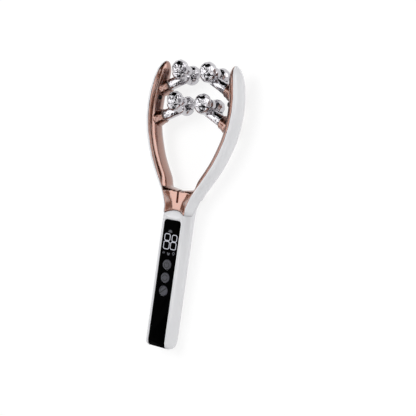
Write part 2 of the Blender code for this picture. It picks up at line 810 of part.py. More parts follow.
def rear_shell(materials):
    """The white channel that forms the back and sides of the handle."""
    shell = add_object("handle_rear_shell", handle_form_bm(0.0, REAR_SHELL_TOP), materials["white"],
                       smooth_angle=math.radians(30))
    cut(shell, handle_form_bm(SHELL_WALL, REAR_SHELL_TOP + OVERRUN))
    half = PLATE_HALF_WIDTH
    top = FRONT_PLATE_UNDERSIDE - FIT_GAP
    cut(shell, box_bm((-half, -OVERRUN, top), (half, REAR_SHELL_TOP + OVERRUN,
                                                HANDLE_HALF_DEPTH + OVERRUN)))
    inner = FRONT_FLAT_HALF - SHELL_WALL - FIT_GAP
    cut(shell, box_bm((-inner, PANEL_TOP, 0.0), (inner, REAR_SHELL_TOP + OVERRUN,
                                                 HANDLE_HALF_DEPTH + OVERRUN)))
    lip = FRONT_LIP_BOTTOM - FIT_GAP
    cut(shell, box_bm((-half, -OVERRUN, lip), (half, FRONT_LIP_HEIGHT + FIT_GAP,
                                                HANDLE_HALF_DEPTH + OVERRUN)))
    side = TINE_REACH
    cut(shell, prism_bm(seam_outline(0.0), -side, side, 0))
    cut(shell, socket_box(FIT_GAP, -OVERRUN, SHELL_WALL + OVERRUN))
    floor = rear_inside_z() - SHELL_WALL / 2
    for x, y in shell_screw_places():
        boss_top = TANG_BOTTOM_Z - FIT_GAP
        join(shell, placed(cylinder_bm(BOSS_RADIUS, floor, boss_top, SMALL_STEPS),
                           Matrix.Translation((x, y, 0))))
        hole_bottom = rear_inside_z() + FIT_GAP
        cut(shell, placed(cylinder_bm(SCREW_SHANK_RADIUS + FIT_GAP, hole_bottom, boss_top + OVERRUN,
                                      SMALL_STEPS), Matrix.Translation((x, y, 0))))
    for height in cradle_heights():
        join(shell, within_form(cradle_rib_bm(height)))
    stop_top = (rear_inside_z() + battery_top()) / 2
    for height in battery_stop_heights():
        join(shell, within_form(rib_bm(height, stop_top)))
    for height in battery_rest_heights():
        join(shell, within_form(rib_bm(height, BATTERY_BOTTOM_Z - FIT_GAP)))
    return shell


def within_form(bm):
    """The part of a rib that lies inside the handle, with its ends sunk in the wall."""
    guide = add_object("rib", bm, collection=CUTTERS)
    keep(guide, handle_form_bm(SHELL_WALL / 2, NECK_START))
    return taken_bm(guide)


def rib_bm(start, top):
    """A plain rib across the floor of the rear shell."""
    half = FRONT_FLAT_HALF + SIDE_BULGE
    return box_bm((-half, start, -HANDLE_HALF_DEPTH), (half, start + CRADLE_THICKNESS, top))


def cradle_heights():
    """The two ribs that hold the motor, near its ends."""
    near = MOTOR_START + CRADLE_THICKNESS / 2
    return [near, MOTOR_START + MOTOR_LENGTH - 2 * CRADLE_THICKNESS]


def cradle_rib_bm(start):
    """A rib across the shell with a round seat for the motor."""
    half = FRONT_FLAT_HALF + SIDE_BULGE
    seat = MOTOR_RADIUS + FIT_GAP
    top = MOTOR_HEIGHT
    outline = [(-half, -HANDLE_HALF_DEPTH), (half, -HANDLE_HALF_DEPTH), (half, top), (seat, top)]
    for step in range(1, 6):
        angle = -math.pi * step / 6
        outline.append((seat * math.cos(angle), MOTOR_HEIGHT + seat * math.sin(angle)))
    outline += [(-seat, top), (-half, top)]
    return prism_bm(outline, start, start + CRADLE_THICKNESS, 1)


def battery_stop_heights():
    return [BATTERY_START - FIT_GAP - CRADLE_THICKNESS, BATTERY_START + BATTERY_LENGTH + FIT_GAP]


def battery_rest_heights():
    """The two low ribs that the cell lies on."""
    return [BATTERY_START + BATTERY_LENGTH * share for share in BATTERY_REST_SHARES]


def battery_top():
    return BOARD_TOP - BOARD_THICKNESS - 2 * FIT_GAP


def front_shell(materials):
    """The white front plate: it carries the panel, the buttons and the screws' heads."""
    top = NECK_START + WHITE_PEAK_RISE + OVERRUN
    shell = add_object("handle_front_shell", handle_form_bm(0.0, top), materials["white"],
                       smooth_angle=math.radians(30))
    keep(shell, prism_bm(front_edge_outline(FIT_GAP), 0.0,
                         HANDLE_HALF_DEPTH + OVERRUN, 2))
    side = FRONT_FLAT_HALF + OVERRUN
    far_below = -HANDLE_HALF_DEPTH - OVERRUN
    thick = FRONT_PLATE_UNDERSIDE - FRONT_SCOOP
    below = [(FRONT_LIP_HEIGHT, FRONT_PLATE_UNDERSIDE), (FRONT_LIP_HEIGHT, FRONT_LIP_BOTTOM),
             (-OVERRUN, FRONT_LIP_BOTTOM), (-OVERRUN, far_below), (TOTAL_LENGTH, far_below),
             (TOTAL_LENGTH, thick), (PANEL_TOP, thick), (PANEL_TOP, FRONT_PLATE_UNDERSIDE)]
    cut(shell, prism_bm(below, -side, side, 0))
    for sign in (-1, 1):
        low, high = sorted((sign * SKIRT_HALF_WIDTH - sign * 2 * SKIRT_THICKNESS, sign * side))
        cut(shell, box_bm((low, PANEL_TOP - OVERRUN, thick - OVERRUN),
                          (high, TOTAL_LENGTH, FRONT_PLATE_UNDERSIDE)))
    recess = add_object("panel_recess", prism_bm(panel_outline(FIT_GAP), 0.0,
                                                 HANDLE_HALF_DEPTH + OVERRUN, 2), collection=CUTTERS)
    cut(recess, handle_form_bm(PANEL_INSET + PANEL_THICKNESS + FIT_GAP, NECK_START))
    cut(shell, taken_bm(recess))
    for sign in (-1, 1):
        low, high = sorted((sign * SKIRT_HALF_WIDTH, sign * (SKIRT_HALF_WIDTH - SKIRT_THICKNESS)))
        join(shell, box_bm((low, BATTERY_START, FRONT_PLATE_UNDERSIDE - SKIRT_DEPTH),
                           (high, TANG_START, FRONT_PLATE_UNDERSIDE + FIT_GAP)))
    for height in button_heights():
        cut(shell, placed(cylinder_bm(BUTTON_RADIUS + BUTTON_CLEARANCE, 0.0,
                                      HANDLE_HALF_DEPTH + OVERRUN), Matrix.Translation((0, height, 0))))
    window = MODULE_HALF_WIDTH + FIT_GAP
    cut(shell, box_bm((-window, MODULE_START - FIT_GAP, 0.0),
                      (window, MODULE_END + FIT_GAP, HANDLE_HALF_DEPTH + OVERRUN)))
    floor_top = recess_floor_z()
    for x, y in shell_screw_places():
        spot = Matrix.Translation((x, y, 0))
        join(shell, placed(cylinder_bm(BOSS_RADIUS, TANG_TOP_Z + FIT_GAP,
                                       FRONT_PLATE_UNDERSIDE + FIT_GAP, SMALL_STEPS), spot))
        cut(shell, placed(cylinder_bm(SCREW_SHANK_RADIUS + FIT_GAP, 0.0, floor_top + OVERRUN,
                                      SMALL_STEPS), spot))
        cut(shell, placed(cylinder_bm(SCREW_HEAD_RADIUS + FIT_GAP, screw_head_bottom() - FIT_GAP,
                                      floor_top + OVERRUN, SMALL_STEPS), spot))
    return shell


def recess_floor_z():
    return HANDLE_HALF_DEPTH - PANEL_INSET - PANEL_THICKNESS - FIT_GAP


def screw_head_bottom():
    return recess_floor_z() - SCREW_HEAD_HEIGHT


def shell_screw(name, place, materials):
    """A screw under the panel that clamps front plate, fork tang and rear shell."""
    bottom = rear_inside_z() + 2 * FIT_GAP
    head_bottom = screw_head_bottom()
    head_top = recess_floor_z() - FIT_GAP / 2
    profile = [(0, head_top), (SCREW_HEAD_RADIUS, head_top), (SCREW_HEAD_RADIUS, head_bottom),
               (SCREW_SHANK_RADIUS, head_bottom), (SCREW_SHANK_RADIUS, bottom), (0, bottom)]
    item = add_object(name, turned_bm(profile, SMALL_STEPS), materials["steel"])
    item.location = (*place, 0)
    return item


def display_panel(materials):
    """The black gloss window let into the front plate and wrapped round its lower end."""
    panel = add_object("display_panel", handle_form_bm(PANEL_INSET, NECK_START), materials["black"],
                       smooth_angle=math.radians(30))
    cut(panel, handle_form_bm(PANEL_INSET + PANEL_THICKNESS, NECK_START + OVERRUN))
    keep(panel, prism_bm(panel_outline(0.0), FRONT_LIP_BOTTOM + FIT_GAP,
                         HANDLE_HALF_DEPTH + OVERRUN, 2))
    for height in button_heights():
        cut(panel, placed(cylinder_bm(BUTTON_RADIUS + BUTTON_CLEARANCE, 0.0,
                                      HANDLE_HALF_DEPTH + OVERRUN), Matrix.Translation((0, height, 0))))
    return panel


def button(name, height, materials):
    """A round button with a flange that keeps it behind the front plate."""
    top = HANDLE_HALF_DEPTH - PANEL_INSET + BUTTON_PROUD
    flange_top = FRONT_PLATE_UNDERSIDE - FIT_GAP
    flange_bottom = flange_top - BUTTON_FLANGE_THICKNESS
    stem_bottom = plunger_top() + BUTTON_TRAVEL + FIT_GAP / 3
    edge = BUTTON_EDGE_RADIUS
    wide = BUTTON_RADIUS + BUTTON_FLANGE_WIDTH
    profile = [(0, top)]
    for step in range(4):
        angle = math.pi / 2 * (1 - step / 3)
        profile.append((BUTTON_RADIUS - edge + edge * math.cos(angle),
                        top - edge + edge * math.sin(angle)))
    profile += [(BUTTON_RADIUS, flange_top), (wide, flange_top), (wide, flange_bottom),
                (BUTTON_STEM_RADIUS, flange_bottom), (BUTTON_STEM_RADIUS, stem_bottom),
                (0, stem_bottom)]
    bm = turned_bm([(radius, z - top) for radius, z in profile])
    item = add_object(name, bm, materials["button"], smooth_angle=math.radians(35))
    item.location = (0, height, top)
    return item


def plunger_top():
    return BOARD_TOP + SWITCH_HEIGHT + SWITCH_PLUNGER_HEIGHT


# Inside the handle

def circuit_board(materials):
    """The board under the buttons, with rounded corners."""
    bm = box_bm((-BOARD_HALF_WIDTH, BOARD_START, BOARD_TOP - BOARD_THICKNESS),
                (BOARD_HALF_WIDTH, BOARD_END, BOARD_TOP))
    bevel_edges(bm, along(bm, 2), BOARD_THICKNESS, 2)
    return add_object("circuit_board", bm, materials["board"])


def tact_switch(name, height, materials):
    """The small switch under a button."""
    half = SWITCH_SIDE / 2
    bottom = BOARD_TOP + FIT_GAP
    top = BOARD_TOP + SWITCH_HEIGHT
    item = add_object(name, box_bm((-half, height - half, bottom), (half, height + half, top)),
                      materials["steel"])
    plunger = cylinder_bm(SWITCH_PLUNGER_RADIUS, (bottom + top) / 2, plunger_top(), SMALL_STEPS)
    join(item, placed(plunger, Matrix.Translation((0, height, 0))))
    return item


def display_module(materials):
    """The lamp module with the figures, close behind the panel."""
    top = HANDLE_HALF_DEPTH - PANEL_INSET - PANEL_THICKNESS - FIT_GAP
    bm = box_bm((-MODULE_HALF_WIDTH, MODULE_START, BOARD_TOP + FIT_GAP),
                (MODULE_HALF_WIDTH, BOARD_END, top))
    bevel_edges(bm, along(bm, 2), FIT_GAP, 1)
    item = add_object("display_module", bm, materials["acetal"])
    join(item, box_bm((-MODULE_HALF_WIDTH, BOARD_END - OVERRUN, FRONT_PLATE_UNDERSIDE + FIT_GAP),
                      (MODULE_HALF_WIDTH, MODULE_END, top)))
    return item


def battery_cell(materials):
    """A flat rechargeable cell on the floor of the rear shell."""
    bm = box_bm((-BATTERY_WIDTH / 2, BATTERY_START, BATTERY_BOTTOM_Z),
                (BATTERY_WIDTH / 2, BATTERY_START + BATTERY_LENGTH, battery_top()))
    bevel_edges(bm, along(bm, 1), BATTERY_BEVEL, 2)
    return add_object("battery_cell", bm, materials["foil"])


def motor_frame(start):
    return along_axis((0, start, MOTOR_HEIGHT), (0, 1, 0))


def vibration_motor(materials):
    """A small motor whose shaft carries the off-centre weight."""
    end = MOTOR_LENGTH
    profile = [(0, end + MOTOR_SHAFT_LENGTH), (MOTOR_SHAFT_RADIUS, end + MOTOR_SHAFT_LENGTH),
               (MOTOR_SHAFT_RADIUS, end), (MOTOR_RADIUS, end), (MOTOR_RADIUS, 0), (0, 0)]
    return add_object("vibration_motor", placed(turned_bm(profile), motor_frame(MOTOR_START)),
                      materials["steel"], smooth_angle=math.radians(35))


def motor_weight(materials):
    """The half-round weight that shakes the handle as it spins, with its hub round the shaft."""
    bore = MOTOR_SHAFT_RADIUS + FIT_GAP
    hub = bore + 2 * FIT_GAP
    low = MOTOR_LENGTH + 2 * FIT_GAP
    high = low + WEIGHT_LENGTH
    outline = []
    for step in range(13):
        angle = WEIGHT_START_ANGLE + WEIGHT_SWEEP * step / 12
        outline.append((WEIGHT_RADIUS * math.cos(angle), WEIGHT_RADIUS * math.sin(angle)))
    bm = prism_bm(outline, low, high, 2)
    item = add_object("motor_weight", bm, materials["steel"])
    join(item, cylinder_bm(hub, low - FIT_GAP, high + FIT_GAP, SMALL_STEPS))
    cut(item, cylinder_bm(bore, low - OVERRUN, high + OVERRUN, SMALL_STEPS))
    apply_modifiers(item)
    item.matrix_local = motor_frame(MOTOR_START)
    return item


def charging_socket(materials):
    """A charging receptacle in the lower end of the handle, with the tongue inside it."""
    start = SOCKET_SET_BACK
    end = start + SOCKET_LENGTH
    item = add_object("charging_socket", socket_box(0.0, start, end), materials["steel"])
    cut(item, socket_box(-SOCKET_WALL, start - OVERRUN, end - SHELL_WALL))
    half = TONGUE_THICKNESS / 2
    join(item, box_bm((-TONGUE_HALF_WIDTH, start + SHELL_WALL / 2, SOCKET_MIDDLE_Z - half),
                      (TONGUE_HALF_WIDTH, end - SHELL_WALL / 2, SOCKET_MIDDLE_Z + half)))
    return item


# Fork

def fork_liner(materials):
    """The rose-gold inner half of both tines, with the saddle between them and its tang."""
    half = liner_stations()
    rings = mirrored_rings(half[:0:-1], -1) + half
    liner = add_object("fork_liner", loft_bm(rings), materials["rose"], smooth_angle=math.radians(40))
    for _, side in SIDES:
        for _, height, z in ROWS:
            join(liner, socket_bm(side, height, z))
    join(liner, box_bm((-TANG_HALF_WIDTH, TANG_START, TANG_BOTTOM_Z),
                       (TANG_HALF_WIDTH, CROTCH_HEIGHT - OVERRUN * 2, TANG_TOP_Z)))
    for _, side in SIDES:
        cut(liner, channel_bm(side, True))
        for _, height, z in ROWS:
            cut(liner, socket_bore_bm(side, height, z))
        cut(liner, dome_seat_bm(side))
    cut(liner, collar_bm())
    for x, y in shell_screw_places():
        cut(liner, placed(cylinder_bm(SCREW_SHANK_RADIUS + FIT_GAP, TANG_BOTTOM_Z - OVERRUN,
                                      TANG_TOP_Z + OVERRUN, SMALL_STEPS), Matrix.Translation((x, y, 0))))
    cut(liner, slit_bm())
    return liner


def collar_bm():
    """What the liner gives up to the rear shell that its neck sits in."""
    reach = TINE_REACH
    guide = add_object("collar", box_bm((-reach, TANG_START - OVERRUN, -HANDLE_HALF_DEPTH - OVERRUN),
                                        (reach, REAR_SHELL_TOP + FIT_GAP, SEAM_LOW_Z + FIT_GAP)),
                       collection=CUTTERS)
    cut(guide, handle_form_bm(SHELL_WALL + FIT_GAP, REAR_SHELL_TOP + OVERRUN))
    return taken_bm(guide)


def socket_bm(side, height, z):
    """The flared socket that an arm stands in."""
    top = SOCKET_RISE
    rim = SOCKET_RIM_ROUND
    profile = [(0, top)]
    for step in range(3):
        angle = math.pi / 2 * (1 - step / 2)
        profile.append((SOCKET_RIM_RADIUS - rim + rim * math.cos(angle),
                        top - rim + rim * math.sin(angle)))
    for share, out in FLARE_SHARES:
        flare = SOCKET_BASE_RADIUS - SOCKET_RIM_RADIUS
        profile.append((SOCKET_RIM_RADIUS + out * flare, top * share))
    profile += [(SOCKET_RIM_RADIUS / 2, -SOCKET_RISE), (0, -SOCKET_RISE)]
    place = socket_top(side, height, z) - arm_direction(side) * SOCKET_RISE
    return placed(turned_bm(profile), along_axis(place, arm_direction(side)))


def shank_floor():
    """How deep the arm's shank sits under the top of its socket."""
    return ARM_SHANK_LENGTH + FIT_GAP


def socket_bore_bm(side, height, z):
    """The hole for an arm's shank and the smaller one for its screw."""
    wide = ARM_SHANK_RADIUS + FIT_GAP
    narrow = SCREW_SHANK_RADIUS + FIT_GAP
    floor = -shank_floor()
    profile = [(0, OVERRUN), (wide, OVERRUN), (wide, floor), (narrow, floor),
               (narrow, floor - 2 * OVERRUN), (0, floor - 2 * OVERRUN)]
    half_step = Matrix.Rotation(math.pi / ROUND_STEPS, 4, "Z")
    frame = along_axis(socket_top(side, height, z), arm_direction(side))
    return placed(turned_bm(profile), frame @ half_step)


def slit_bm():
    """The narrow upright slit in the front of the saddle, open at the window's edge."""
    half = SLIT_WIDTH / 2
    floor = HANDLE_HALF_DEPTH - FRONT_SCOOP - SLIT_DEPTH
    bm = box_bm((-half, CROTCH_HEIGHT - SLIT_LENGTH, floor),
                (half, CROTCH_HEIGHT + OVERRUN, HANDLE_HALF_DEPTH + OVERRUN))
    bevel_edges(bm, along(bm, 2), half * BAR_ROUND_SHARE, 3)
    return bm


def dome_frame(side):
    """Where the domed plug sits on the liner, with its way out of the surface."""
    point, outward = tine_frame(DOME_HEIGHT)
    bulge = inner_bulge(DOME_HEIGHT)
    depth = tine_depth(DOME_HEIGHT)
    angle = math.asin(DOME_Z / depth)
    place = point - outward * bulge * math.cos(angle)
    place.z = DOME_Z
    normal = -outward * math.cos(angle) / bulge + Vector((0, 0, math.sin(angle) / depth))
    place.x *= side
    normal.x *= side
    return along_axis(place, normal.normalized())


def dome_seat_bm(side):
    """The blind hole for the plug's stem and the through hole for the screw under it."""
    wide = DOME_RADIUS + FIT_GAP
    floor = -DOME_STEM_LENGTH - FIT_GAP
    return placed(cylinder_bm(wide, floor, OVERRUN, SMALL_STEPS), dome_frame(side))


def dome_plug(name, side, materials):
    """A glossy black domed plug."""
    profile = []
    for step in range(6):
        angle = math.pi / 2 * (1 - step / 5)
        profile.append((DOME_RADIUS * math.cos(angle), DOME_RISE * math.sin(angle)))
    profile += [(DOME_RADIUS, -DOME_STEM_LENGTH), (0, -DOME_STEM_LENGTH)]
    profile[0] = (0, DOME_RISE)
    item = add_object(name, placed(turned_bm(profile, SMALL_STEPS), dome_frame(side)),
                      materials["black"], smooth_angle=math.radians(40))
    return item


def tine_shell(name, side, materials):
    """The white outer half of a tine, from the side seam of the handle up to the tip."""
    heights = [NECK_START - OVERRUN]
    heights += [share_height(share) for share in NECK_PARTING_SHARES[1:]]
    heights += tine_heights(STATION_SHARES)
    rings = [outer_shell_ring(height, 0.0, FIT_GAP / 2) for height in heights]
    shell = add_object(name, loft_bm(mirrored_rings(rings, side)), materials["white"],
                       smooth_angle=math.radians(40))
    cut(shell, channel_bm(side, False))
    low, high = sorted((0.0, side * TINE_REACH * 2))
    keep(shell, prism_bm(seam_outline(FIT_GAP), low, high, 0))
    return shell


# Roller arms and rollers

def roller_arm(name, side, height, z, materials):
    """A chrome arm: shank, tapered bar with a round end, and the hub that holds the axle."""
    span = ARM_LENGTH
    profile = []
    for step in range(5):
        angle = math.pi / 2 * (1 - step / 4)
        profile.append((ARM_END_RADIUS * math.cos(angle), span + ARM_END_RADIUS * math.sin(angle)))
    profile[0] = (0, span + ARM_END_RADIUS)
    profile += [(ARM_ROOT_RADIUS, SOCKET_RIM_ROUND), (ARM_ROOT_RADIUS - SOCKET_RIM_ROUND, 0),
                (ARM_SHANK_RADIUS, 0), (ARM_SHANK_RADIUS, -ARM_SHANK_LENGTH), (0, -ARM_SHANK_LENGTH)]
    root = arm_root(side, height, z)
    direction = arm_direction(side)
    bar = placed(turned_bm(profile), along_axis(root, direction))
    for vert in bar.verts:
        if (vert.co - root).dot(direction) > -FIT_GAP:
            vert.co.z = z + (vert.co.z - z) * ARM_DEPTH_SHARE
    arm = add_object(name, bar, materials["chrome"], smooth_angle=math.radians(35))
    neck = hub_half_length()
    half = neck * HUB_BARREL_SHARE
    hub = [(0, neck), (HUB_NECK_RADIUS, neck), (HUB_RADIUS, half), (HUB_RADIUS, -half),
           (HUB_NECK_RADIUS, -neck), (0, -neck)]
    axle_frame = along_axis(hub_point(side, height, z), axle_direction(side))
    join(arm, placed(turned_bm(hub), axle_frame))
    yoke_frame = along_axis(hub_point(side, height - YOKE_DROP, z), axle_direction(side))
    join(arm, placed(cylinder_bm(YOKE_RADIUS, -ROLLER_OFFSET, ROLLER_OFFSET), yoke_frame))
    for end in (1, -1):
        join(arm, cup_bm(side, height, z, end))
        cut(arm, roller_space_bm(side, height, z, end))
    cut(arm, placed(cylinder_bm(AXLE_RADIUS + FIT_GAP, -neck - OVERRUN, neck + OVERRUN), axle_frame))
    hole = SCREW_SHANK_RADIUS + FIT_GAP
    cut(arm, placed(cylinder_bm(hole, -ARM_SHANK_LENGTH - OVERRUN, 0.0, SMALL_STEPS),
                    along_axis(root, direction)))
    return arm


def roller_middle(side, height, z, end):
    return hub_point(side, height, z) + axle_direction(side) * end * ROLLER_OFFSET


def cup_bm(side, height, z, end):
    """The lower part of a ball, set off from a roller towards the handle."""
    lean = math.asin(CUP_RIM_DROP / CUP_RADIUS)
    profile = [(0, CUP_RIM_DROP)]
    for step in range(7):
        angle = lean + (math.pi / 2 - lean) * step / 6
        profile.append((CUP_RADIUS * math.cos(angle), CUP_RADIUS * math.sin(angle)))
    profile[-1] = (0, CUP_RADIUS)
    middle = roller_middle(side, height - CUP_DROP, z, end) - axle_direction(side) * end * CUP_INSET
    return placed(turned_bm(profile), along_axis(middle, (0, -1, 0)))


def roller_space_bm(side, height, z, end):
    """The room that a roller turns in: a ball with a flat towards the hub."""
    radius = ROLLER_RADIUS + CUP_CLEARANCE
    face = roller_face() + FIT_GAP / 2
    lean = -math.asin(face / radius)
    profile = [(0, -face)]
    for step in range(9):
        angle = lean + (math.pi / 2 - lean) * step / 8
        profile.append((radius * math.cos(angle), radius * math.sin(angle)))
    profile[-1] = (0, radius)
    frame = along_axis(roller_middle(side, height, z, end), axle_direction(side) * end)
    return placed(turned_bm(profile, ROUND_STEPS + 4), frame)


def roller_face():
    """The distance of a roller's flat inner face from its middle."""
    return math.sqrt(ROLLER_RADIUS ** 2 - ROLLER_FACE_RADIUS ** 2)


def hub_half_length():
    return ROLLER_OFFSET - roller_face() - FIT_GAP


def arm_screw(name, side, height, z, materials):
    """A screw inside the tine that holds an arm's shank in its socket."""
    head = -shank_floor() - SOCKET_FLOOR - FIT_GAP
    profile = [(0, head + ARM_SCREW_LENGTH), (SCREW_SHANK_RADIUS, head + ARM_SCREW_LENGTH),
               (SCREW_SHANK_RADIUS, head), (SCREW_HEAD_RADIUS, head),
               (SCREW_HEAD_RADIUS, head - SCREW_HEAD_HEIGHT), (0, head - SCREW_HEAD_HEIGHT)]
    frame = along_axis(socket_top(side, height, z), arm_direction(side))
    return add_object(name, placed(turned_bm(profile, SMALL_STEPS), frame), materials["steel"])


def bore_radius():
    return AXLE_RADIUS + 2 * FIT_GAP + BUSH_WALL


def bore_end():
    """The blind end of a roller's bore, on its outer side."""
    return roller_face() - BORE_FLOOR


def roller_mesh(materials):
    """A ball cut with flat diamond facets, bored from its inner side, its axle along Z."""
    bm = bmesh.new()
    bmesh.ops.create_icosphere(bm, subdivisions=1, radius=ROLLER_RADIUS * 2)
    directions = []
    for shift, latitude in FACET_ROWS:
        for step in range(FACETS_AROUND):
            turn = math.tau * (step + shift) / FACETS_AROUND
            lean = math.radians(latitude)
            directions.append(Vector((math.cos(lean) * math.cos(turn), math.cos(lean) * math.sin(turn),
                                      math.sin(lean))))
    tangent = ROLLER_RADIUS * math.cos(FACET_LEAN)
    planes = [(direction, tangent) for direction in directions]
    planes += [(Vector((0, 0, 1)), roller_face() + FIT_GAP), (Vector((0, 0, -1)), roller_face())]
    for direction, distance in planes:
        result = bmesh.ops.bisect_plane(bm, geom=bm.verts[:] + bm.edges[:] + bm.faces[:],
                                        plane_co=direction * distance, plane_no=direction,
                                        clear_outer=True)
        edges = [item for item in result["geom_cut"] if isinstance(item, bmesh.types.BMEdge)]
        bmesh.ops.contextual_create(bm, geom=edges)
    bmesh.ops.dissolve_limit(bm, angle_limit=math.radians(1.0), verts=bm.verts, edges=bm.edges)
    bmesh.ops.recalc_face_normals(bm, faces=bm.faces)
    guide = add_object("roller_blank", bm, materials["chrome"])
    bore = cylinder_bm(bore_radius(), -ROLLER_RADIUS - OVERRUN, bore_end(), SMALL_STEPS)
    cut(guide, bore)
    apply_modifiers(guide)
    mesh = guide.data
    mesh.name = "faceted_roller"
    bpy.data.objects.remove(guide, do_unlink=True)
    return mesh


def roller(name, side, height, z, end, mesh):
    """A roller on one end of an axle, with its blind side outwards."""
    direction = axle_direction(side) * end
    item = bpy.data.objects.new(name, mesh)
    bpy.data.collections[MASSAGER].objects.link(item)
    item.matrix_local = along_axis(roller_middle(side, height, z, end), direction)
    return item


def axle_half_length():
    return ROLLER_OFFSET + bore_end() - FIT_GAP


def axle(name, side, height, z, materials):
    """A steel pin through the hub, with a groove near each end for a bush's lip."""
    half = axle_half_length()
    groove = AXLE_RADIUS - GROOVE_DEPTH
    low, high = groove_span()
    profile = [(0, half), (AXLE_RADIUS, half), (AXLE_RADIUS, high), (groove, high), (groove, low),
               (AXLE_RADIUS, low)]
    profile += [(radius, -place) for radius, place in reversed(profile)]
    frame = along_axis(hub_point(side, height, z), axle_direction(side))
    return add_object(name, placed(turned_bm(profile, SMALL_STEPS), frame), materials["steel"],
                      smooth_angle=math.radians(35))


def groove_span():
    """Where the groove for a bush's lip starts and ends along the axle."""
    high = axle_half_length() - AXLE_END
    return high - GROOVE_WIDTH, high


def bush_span():
    return ROLLER_OFFSET - roller_face() + FIT_GAP, axle_half_length() - FIT_GAP


def roller_bush(name, side, height, z, end, materials):
    """A plain plastic bush between a roller and its axle, with a lip that snaps into the groove."""
    low, high = bush_span()
    groove_low, groove_high = groove_span()
    slack = FIT_GAP
    inner = AXLE_RADIUS + FIT_GAP
    outer = inner + BUSH_WALL
    lip = inner - GROOVE_DEPTH
    outline = [(outer, high), (outer, low), (inner, low), (inner, groove_low + slack),
               (lip, groove_low + slack), (lip, groove_high - slack),
               (inner, groove_high - slack), (inner, high)]
    frame = along_axis(hub_point(side, height, z), axle_direction(side) * end)
    return add_object(name, placed(ring_bm(outline, SMALL_STEPS), frame), materials["acetal"])


def lead(name, side, materials):
    """An insulated lead from the end of the board up the channel to the upper arm's screw."""
    heights = [BOARD_END + OVERRUN, NECK_START - OVERRUN]
    points = []
    inside = TANG_HALF_WIDTH + LEAD_RADIUS + FIT_GAP
    for share in (0.0, 0.5, 1.0):
        y = heights[0] + share * (heights[1] - heights[0])
        points.append(Vector((side * inside, y, 0)))
    top = UPPER_ROW_HEIGHT - OVERRUN * 4
    count = 16
    for index in range(count):
        height = NECK_START + OVERRUN + (top - NECK_START - OVERRUN) * index / (count - 1)
        point, outward = tine_frame(height)
        place = point - outward * FIT_GAP
        place.x *= side
        points.append(place)
    curve = bpy.data.curves.new(name, "CURVE")
    curve.dimensions = "3D"
    curve.bevel_depth = LEAD_RADIUS
    curve.bevel_resolution = 2
    curve.use_fill_caps = True
    spline = curve.splines.new("POLY")
    spline.points.add(len(points) - 1)
    for target, place in zip(spline.points, points):
        target.co = (*place, 1.0)
    item = bpy.data.objects.new(name, curve)
    bpy.data.collections[MASSAGER].objects.link(item)
    curve.materials.append(materials["red"])
    return item


# Assembly

def build_handle(materials):
    rear_shell(materials)
    front_shell(materials)
    for name, place in zip(("shell_screw_left", "shell_screw_right"), shell_screw_places()):
        shell_screw(name, place, materials)
    display_panel(materials)
    for name, height in zip(("top", "middle", "bottom"), button_heights()):
        button("button_" + name, height, materials)
        tact_switch("tact_switch_" + name, height, materials)
    circuit_board(materials)
    display_module(materials)
    battery_cell(materials)
    vibration_motor(materials)
    motor_weight(materials)
    charging_socket(materials)


def build_fork(materials):
    fork_liner(materials)
    for name, side in SIDES:
        tine_shell("tine_shell_" + name, side, materials)
        dome_plug("dome_plug_" + name, side, materials)
        lead("lead_" + name, side, materials)


def build_rollers(materials):
    mesh = roller_mesh(materials)
    for name, side in SIDES:
        for row, height, z in ROWS:
            place = row + "_" + name
            roller_arm("arm_" + place, side, height, z, materials)
            arm_screw("arm_screw_" + place, side, height, z, materials)
            axle("axle_" + place, side, height, z, materials)
            for which, end in (("front", 1), ("rear", -1)):
                roller("roller_" + place + "_" + which, side, height, z, end, mesh)
                roller_bush("bush_" + place + "_" + which, side, height, z, end, materials)


def lowest_point(side_of_end, tilt):
    """The lowest point, after a tilt, of what the massager lies on at one end."""
    turn = Matrix.Rotation(tilt, 3, "X")
    return min((turn @ Vector(point)).z for point in side_of_end)


def resting_points():
    """Points on the handle's back and on the rear rollers that may touch the surface below."""
    back = []
    for step in range(13):
        height = REAR_END_RADIUS * (1 - math.cos(math.pi / 2 * step / 12))
        back.append((0, height, -HANDLE_HALF_DEPTH + end_drop(height, REAR_END_RADIUS)))
    balls = []
    for row, height, z in ROWS:
        middle = hub_point(1, height, z) - axle_direction(1) * ROLLER_OFFSET
        for step in range(7):
            lean = REST_SWEEP * (step / 3 - 1)
            balls.append(middle - Vector((0, math.sin(lean), math.cos(lean))) * ROLLER_RADIUS)
    return back, balls


def lay_down(root):
    """Tilt the massager until it lies on its handle and its rear rollers, on the surface z = 0."""
    back, balls = resting_points()
    low, high = 0.0, MOST_REST_TILT
    for step in range(40):
        tilt = (low + high) / 2
        if lowest_point(balls, tilt) < lowest_point(back, tilt):
            low = tilt
        else:
            high = tilt
    root.rotation_euler = (tilt, 0, 0)


def centre_on_surface(root):
    """Move the root so that the whole object's box stands centred on the origin."""
    bpy.context.view_layer.update()
    graph = bpy.context.evaluated_depsgraph_get()
    places = []
    for item in bpy.data.collections[MASSAGER].objects:
        if item.type == "EMPTY":
            continue
        shown = item.evaluated_get(graph)
        mesh = shown.to_mesh()
        found = np.empty(len(mesh.vertices) * 3)
        mesh.vertices.foreach_get("co", found)
        matrix = np.array(item.matrix_world)
        places.append(found.reshape(-1, 3) @ matrix[:3, :3].T + matrix[:3, 3])
        shown.to_mesh_clear()
    every = np.vstack(places)
    low = every.min(axis=0)
    high = every.max(axis=0)
    root.location = (-(low[0] + high[0]) / 2, -(low[1] + high[1]) / 2, -low[2])


def main():
    clear_scene()
    materials = make_materials()
    build_handle(materials)
    build_fork(materials)
    build_rollers(materials)
    root = bpy.data.objects.new("massager_root", None)
    bpy.data.collections[MASSAGER].objects.link(root)
    for item in bpy.data.collections[MASSAGER].objects:
        if item is not root:
            item.parent = root
    for item in bpy.data.collections[CUTTERS].objects:
        item.parent = root
    lay_down(root)
    centre_on_surface(root)


main()
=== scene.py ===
import json
import math

